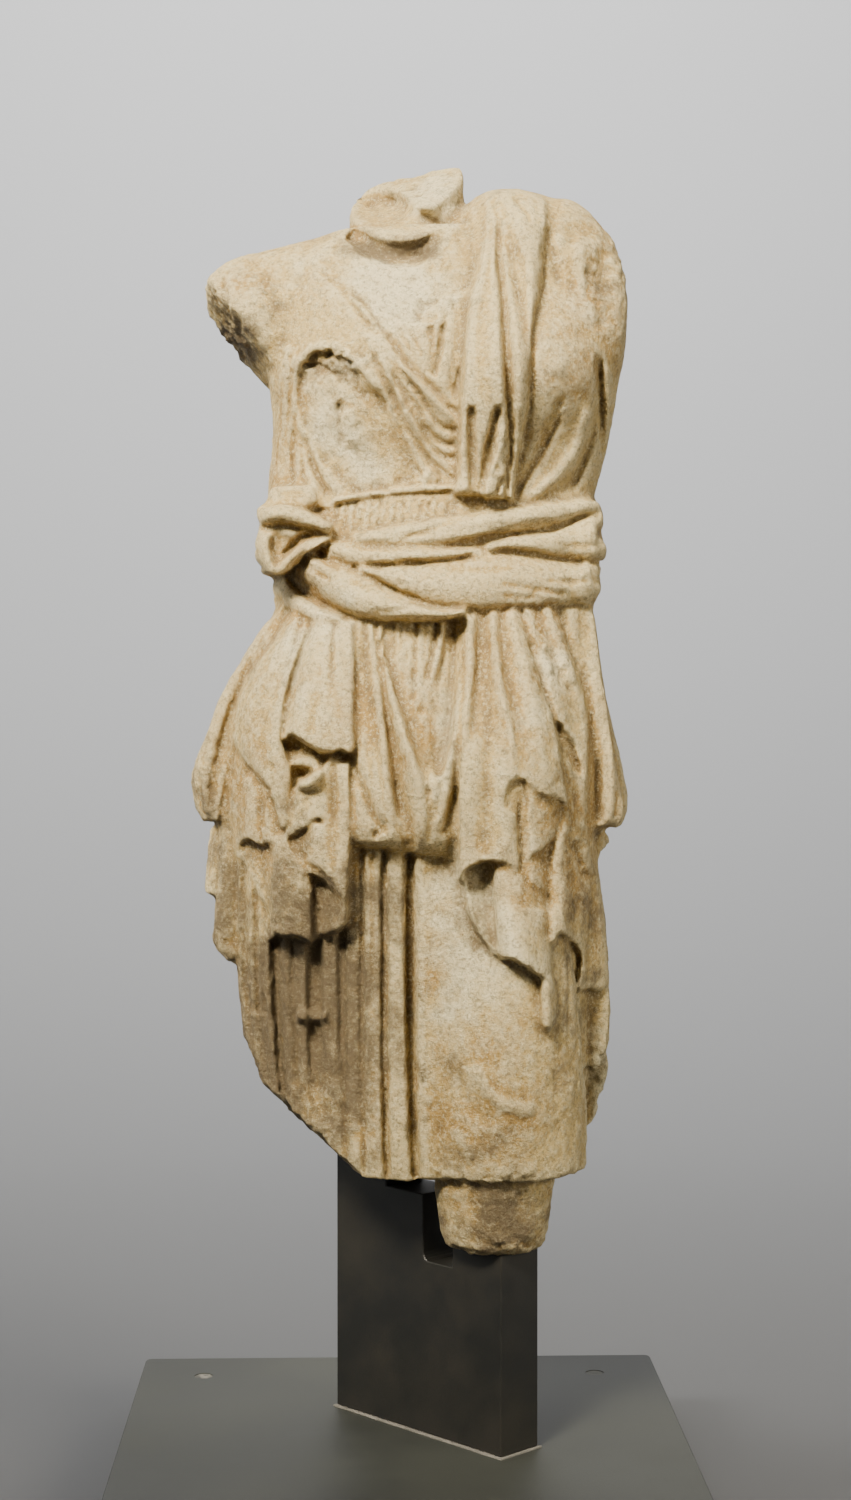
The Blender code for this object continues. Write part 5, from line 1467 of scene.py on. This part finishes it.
def thin_out(piece, chosen, triangles):
    """Collapse the chosen faces until about so many triangles are left of them."""
    ratio = min(1.0, triangles / (2.0 * chosen.sum()))
    deselect()
    piece.select_set(True)
    bpy.context.view_layer.objects.active = piece
    bpy.context.tool_settings.mesh_select_mode = (False, False, True)
    bpy.ops.object.mode_set(mode="EDIT")
    bpy.ops.mesh.select_all(action="DESELECT")
    bpy.ops.object.mode_set(mode="OBJECT")
    piece.data.polygons.foreach_set("select", chosen)
    bpy.ops.object.mode_set(mode="EDIT")
    bpy.ops.mesh.decimate(ratio=ratio)
    bpy.ops.object.mode_set(mode="OBJECT")


def faces_to_eye(piece):
    count = len(piece.data.polygons)
    centres = np.empty(count * 3, np.float32)
    normals = np.empty(count * 3, np.float32)
    piece.data.polygons.foreach_get("center", centres)
    piece.data.polygons.foreach_get("normal", normals)
    return facing(centres.reshape(-1, 3).astype(float), normals.reshape(-1, 3).astype(float))[1] > EDGE_OF_SIGHT


thin_out(figure, ~faces_to_eye(figure), BACK_TRIANGLES)
thin_out(figure, faces_to_eye(figure), FRONT_TRIANGLES)
bpy.ops.object.shade_smooth()
figure.data.calc_loop_triangles()
print("figure:", len(figure.data.loop_triangles), "triangles")

# %% [markdown]
# Marble
# The colour is built in layers, from broad clouds of cream and ochre to grains of a millimetre, each mixed
# over the last by a noise in object coordinates. Two bumps add the finest roughness. First come a few
# helpers that add and join nodes.

# %% Helpers for materials
def node_maker(material):
    material.use_nodes = True
    nodes, links = material.node_tree.nodes, material.node_tree.links
    nodes.clear()

    def make(kind, inputs=(), **settings):
        node = nodes.new(kind)
        for key, value in settings.items():
            setattr(node, key, value)
        for socket, value in dict(inputs).items():
            target = node.inputs[socket]
            if isinstance(value, bpy.types.NodeSocket):
                links.new(value, target)
            else:
                target.default_value = value
        return node
    return make


def mixed(make, factor, first, second):
    node = make("ShaderNodeMix", data_type="RGBA", clamp_factor=True)
    for socket, value in ((0, factor), (6, first), (7, second)):
        if isinstance(value, bpy.types.NodeSocket):
            node.id_data.links.new(value, node.inputs[socket])
        else:
            node.inputs[socket].default_value = value
    return node.outputs[2]


def ramp(make, value, low, high):
    """Stretch a value: 0 at low, 1 at high."""
    node = make("ShaderNodeMapRange", {"Value": value, "From Min": low, "From Max": high}, clamp=True)
    return node.outputs["Result"]


def mixed_value(make, value, share):
    return make("ShaderNodeMath", {0: value, 1: share}, operation="MULTIPLY").outputs[0]


def noise(make, place, scale, detail=4.0, roughness=0.55, distortion=0.0):
    node = make("ShaderNodeTexNoise", {"Vector": place, "Scale": scale, "Detail": detail,
                                       "Roughness": roughness, "Distortion": distortion})
    return node.outputs["Fac"]


# %% Marble
def marble():
    material = bpy.data.materials.new("weathered_marble")
    make = node_maker(material)
    place = make("ShaderNodeTexCoord").outputs["Object"]
    hollow = make("ShaderNodeAttribute", attribute_name="hollow").outputs["Fac"]
    cleaned = make("ShaderNodeAttribute", attribute_name="cleaned").outputs["Fac"]
    stain_and_shade_spots = make("ShaderNodeAttribute", attribute_name="stain_and_shade_spots").outputs["Fac"]
    cream = (0.62, 0.455, 0.175, 1.0)
    ochre = (0.42, 0.255, 0.062, 1.0)
    earth_and_shade_brown = (0.17, 0.11, 0.045, 1.0)
    white = (0.76, 0.665, 0.40, 1.0)
    grey = (0.145, 0.104, 0.048, 1.0)
    # Broad clouds of cream and ochre, with cleaned places, and stains mixed with painted shade, over them
    cloud = ramp(make, noise(make, place, 9.0, 5.0, 0.62, 0.4), 0.44, 0.60)
    colour = mixed(make, cloud, cream, ochre)
    patch = make("ShaderNodeMath", {0: noise(make, place, 16.0, 6.0, 0.65), 1: cleaned}, operation="ADD")
    colour = mixed(make, ramp(make, patch.outputs[0], 0.60, 0.76), colour, white)
    worn = ramp(make, hollow, 0.40, 0.16)
    colour = mixed(make, mixed_value(make, worn, 0.5), colour, white)
    patch = make("ShaderNodeMath", {0: noise(make, place, 26.0, 6.0, 0.7), 1: stain_and_shade_spots}, operation="ADD")
    stain_and_shade = ramp(make, patch.outputs[0], 0.60, 0.84)
    colour = mixed(make, stain_and_shade, colour, grey)
    # Painted shade in the folds, darker brown the deeper a point lies, together with earth that stayed there
    deep = make("ShaderNodeMath", {0: hollow, 1: noise(make, place, 60.0, 5.0, 0.7)}, operation="ADD")
    colour = mixed(make, mixed_value(make, ramp(make, deep.outputs[0], 0.98, 1.55), 0.75), colour, earth_and_shade_brown)
    # Mottling, small dark pits and pale crystals
    mottle = ramp(make, noise(make, place, 95.0, 7.0, 0.75), 0.47, 0.60)
    colour = mixed(make, mixed_value(make, mottle, 0.28), colour, ochre)
    pits = ramp(make, noise(make, place, 230.0, 7.0, 0.8), 0.49, 0.42)
    colour = mixed(make, mixed_value(make, pits, 0.55), colour, grey)
    sparks = ramp(make, noise(make, place, 280.0, 7.0, 0.8), 0.51, 0.58)
    colour = mixed(make, mixed_value(make, sparks, 0.5), colour, white)
    # The stains and painted shade once more, in grey over the grain
    colour = mixed(make, mixed_value(make, stain_and_shade, 0.75), colour, grey)
    coarse = noise(make, place, 240.0, 6.0, 0.7)
    bump_coarse = make("ShaderNodeBump", {"Strength": 0.9, "Distance": 0.006, "Height": coarse})
    fine = noise(make, place, 800.0, 3.0, 0.6)
    bump_fine = make("ShaderNodeBump", {"Strength": 0.6, "Distance": 0.0016, "Height": fine,
                                        "Normal": bump_coarse.outputs["Normal"]})
    shader = make("ShaderNodeBsdfPrincipled", {"Base Color": colour, "Roughness": 0.7,
                                               "Normal": bump_fine.outputs["Normal"]})
    make("ShaderNodeOutputMaterial", {"Surface": shader.outputs["BSDF"]})
    return material


figure.data.materials.clear()
figure.data.materials.append(marble())
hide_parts("marble_figure")
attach(figure, "root")

# %% [markdown]
# Dark stones
# The support and the base are smooth, dark, honed stone, set with a line of pale mortar. Their solids have
# the right shape already, so each only gets a material: two close colours in soft clouds, with fine grain.

# %% Dark stones, mortar and fillings
def plain_stone(name, first, second, roughness, scale, grain_scale):
    material = bpy.data.materials.new(name)
    make = node_maker(material)
    place = make("ShaderNodeTexCoord").outputs["Object"]
    colour = mixed(make, ramp(make, noise(make, place, scale, 5.0, 0.6), 0.4, 0.6), first, second)
    fine = noise(make, place, grain_scale, 5.0, 0.7)
    colour = mixed(make, ramp(make, fine, 0.3, 0.7), mixed(make, 0.25, colour, (0.0, 0.0, 0.0, 1.0)), colour)
    bump = make("ShaderNodeBump", {"Strength": 0.25, "Distance": 0.0005, "Height": fine})
    gloss = make("ShaderNodeMapRange", {"Value": noise(make, place, scale * 2), "To Min": roughness - 0.08,
                                        "To Max": roughness + 0.08})
    shader = make("ShaderNodeBsdfPrincipled", {"Base Color": colour, "Roughness": gloss.outputs["Result"],
                                               "Normal": bump.outputs["Normal"]})
    make("ShaderNodeOutputMaterial", {"Surface": shader.outputs["BSDF"]})
    return material


def dress(node, material):
    mesh = bpy.data.objects[node].data
    mesh.materials.clear()
    mesh.materials.append(material)


STONES = {
    # darker colour, lighter colour, roughness, clouds and grains for each metre, nodes
    "support_stone": ((0.010, 0.0105, 0.009, 1.0), (0.022, 0.020, 0.0145, 1.0), 0.5, 9.0, 420.0,
                      ["support_slab"]),
    "base_stone": ((0.036, 0.039, 0.032, 1.0), (0.054, 0.058, 0.048, 1.0), 0.55, 5.0, 500.0, ["base_slab"]),
    "pale_mortar": ((0.20, 0.19, 0.16, 1.0), (0.30, 0.28, 0.24, 1.0), 0.85, 40.0, 700.0, ["bedding_mortar"]),
    "hole_filler": ((0.10, 0.10, 0.085, 1.0), (0.14, 0.14, 0.12, 1.0), 0.7, 60.0, 700.0,
                    ["hole_filling_front_left", "hole_filling_front_right", "hole_filling_back_right"]),
    "chipped_filler": ((0.10, 0.10, 0.085, 1.0), (0.42, 0.40, 0.34, 1.0), 0.7, 110.0, 700.0,
                       ["hole_filling_back_left"]),
}
for name, (first, second, roughness, clouds, grains, nodes) in STONES.items():
    stone = plain_stone(name, first, second, roughness, clouds, grains)
    for node in nodes:
        dress(node, stone)
    print(name, "on", ", ".join(nodes))

# %% [markdown]
# Floor and backdrop
# The statue is shown on a plain floor that bends up into a wall with no corner, as in a photo studio. It is
# a profile turned round the upright axis, so it looks the same from every side, and it is only a stage.

# %% Floor and backdrop
FLOOR_SIDES = 96
FLOOR_FLAT = 1.7
FLOOR_BEND = 4.5
BEND_STEPS = 32
WALL_HEIGHT = 8.0
FLOOR_GREY = (0.36, 0.36, 0.36, 1.0)


def make_stage():
    bm = bmesh.new()
    profile = [(0.001, 0.0), (FLOOR_FLAT, 0.0)]
    for i in range(1, BEND_STEPS + 1):
        turn = math.pi / 2 * i / BEND_STEPS
        profile.append((FLOOR_FLAT + FLOOR_BEND * math.sin(turn), FLOOR_BEND - FLOOR_BEND * math.cos(turn)))
    profile.append((FLOOR_FLAT + FLOOR_BEND, WALL_HEIGHT))
    turns = [2 * math.pi * k / FLOOR_SIDES for k in range(FLOOR_SIDES)]
    rings = [[bm.verts.new((radius * math.cos(turn), radius * math.sin(turn), height)) for turn in turns]
             for radius, height in profile]
    for low, high in zip(rings, rings[1:]):
        for k in range(FLOOR_SIDES):
            bm.faces.new((low[k], high[k], high[(k + 1) % FLOOR_SIDES], low[(k + 1) % FLOOR_SIDES]))
    mesh = bpy.data.meshes.new("floor")
    bm.to_mesh(mesh)
    bm.free()
    for face in mesh.polygons:
        face.use_smooth = True
    floor = bpy.data.objects.new("floor", mesh)
    bpy.context.scene.collection.objects.link(floor)
    material = bpy.data.materials.new("pale_floor")
    make = node_maker(material)
    shader = make("ShaderNodeBsdfPrincipled", {"Base Color": FLOOR_GREY, "Roughness": 0.9})
    make("ShaderNodeOutputMaterial", {"Surface": shader.outputs["BSDF"]})
    mesh.materials.append(material)


make_stage()
print("floor", FLOOR_FLAT, "m flat, then bent up over", FLOOR_BEND, "m")

# %% [markdown]
# Lights
# A warm key light from the upper left gives the folds their shadows, a weaker one from the right fills
# them, and a third lights the edge of the arm stump. The key is kept off the backdrop, as with a flag in a
# studio, so that no shadow of the statue falls there. A large lamp behind the statue lights the backdrop.

# %% Lights
WHITE = (1.0, 1.0, 1.0)
LIGHTS = {
    # place, target, size, power in watts, spread in degrees, colour
    "key": ((-1.2, -2.3, 3.3), (0.0, 0.0, 1.2), 1.6, 30, 30, (1.0, 0.91, 0.76)),
    "fill": ((2.6, -2.0, 1.4), (0.0, 0.0, 0.7), 2.4, 21, 90, (1.0, 0.93, 0.80)),
    "side": ((-3.0, 0.2, 1.8), (0.0, 0.0, 0.8), 1.6, 7, 80, WHITE),
    "backdrop": ((0.0, 2.7, 5.8), (0.0, 6.5, 3.5), 3.0, 610, 170, WHITE),
}
DIM_ROOM = (0.86, 0.88, 0.92, 1.0)
DIM_ROOM_STRENGTH = 0.13


def area_light(name, place, target, size, power, spread, colour):
    light = bpy.data.lights.new(name, "AREA")
    light.shape = "DISK"
    light.size = size
    light.energy = power
    light.spread = math.radians(spread)
    light.color = colour
    lamp = bpy.data.objects.new(name, light)
    bpy.context.scene.collection.objects.link(lamp)
    lamp.location = place
    lamp.rotation_euler = (Vector(target) - Vector(place)).to_track_quat("-Z", "Y").to_euler()
    return lamp


lamps = {name: area_light(name, *settings) for name, settings in LIGHTS.items()}
lit_by_key = bpy.data.collections.new("lit_by_key")
for thing in bpy.context.scene.objects:
    if thing.type == "MESH" and thing.name != "floor":
        lit_by_key.objects.link(thing)
lamps["key"].light_linking.receiver_collection = lit_by_key
world = bpy.data.worlds.new("studio")
bpy.context.scene.world = world
world.use_nodes = True
world.node_tree.nodes["Background"].inputs["Color"].default_value = DIM_ROOM
world.node_tree.nodes["Background"].inputs["Strength"].default_value = DIM_ROOM_STRENGTH
print("lights:", ", ".join(lamps))
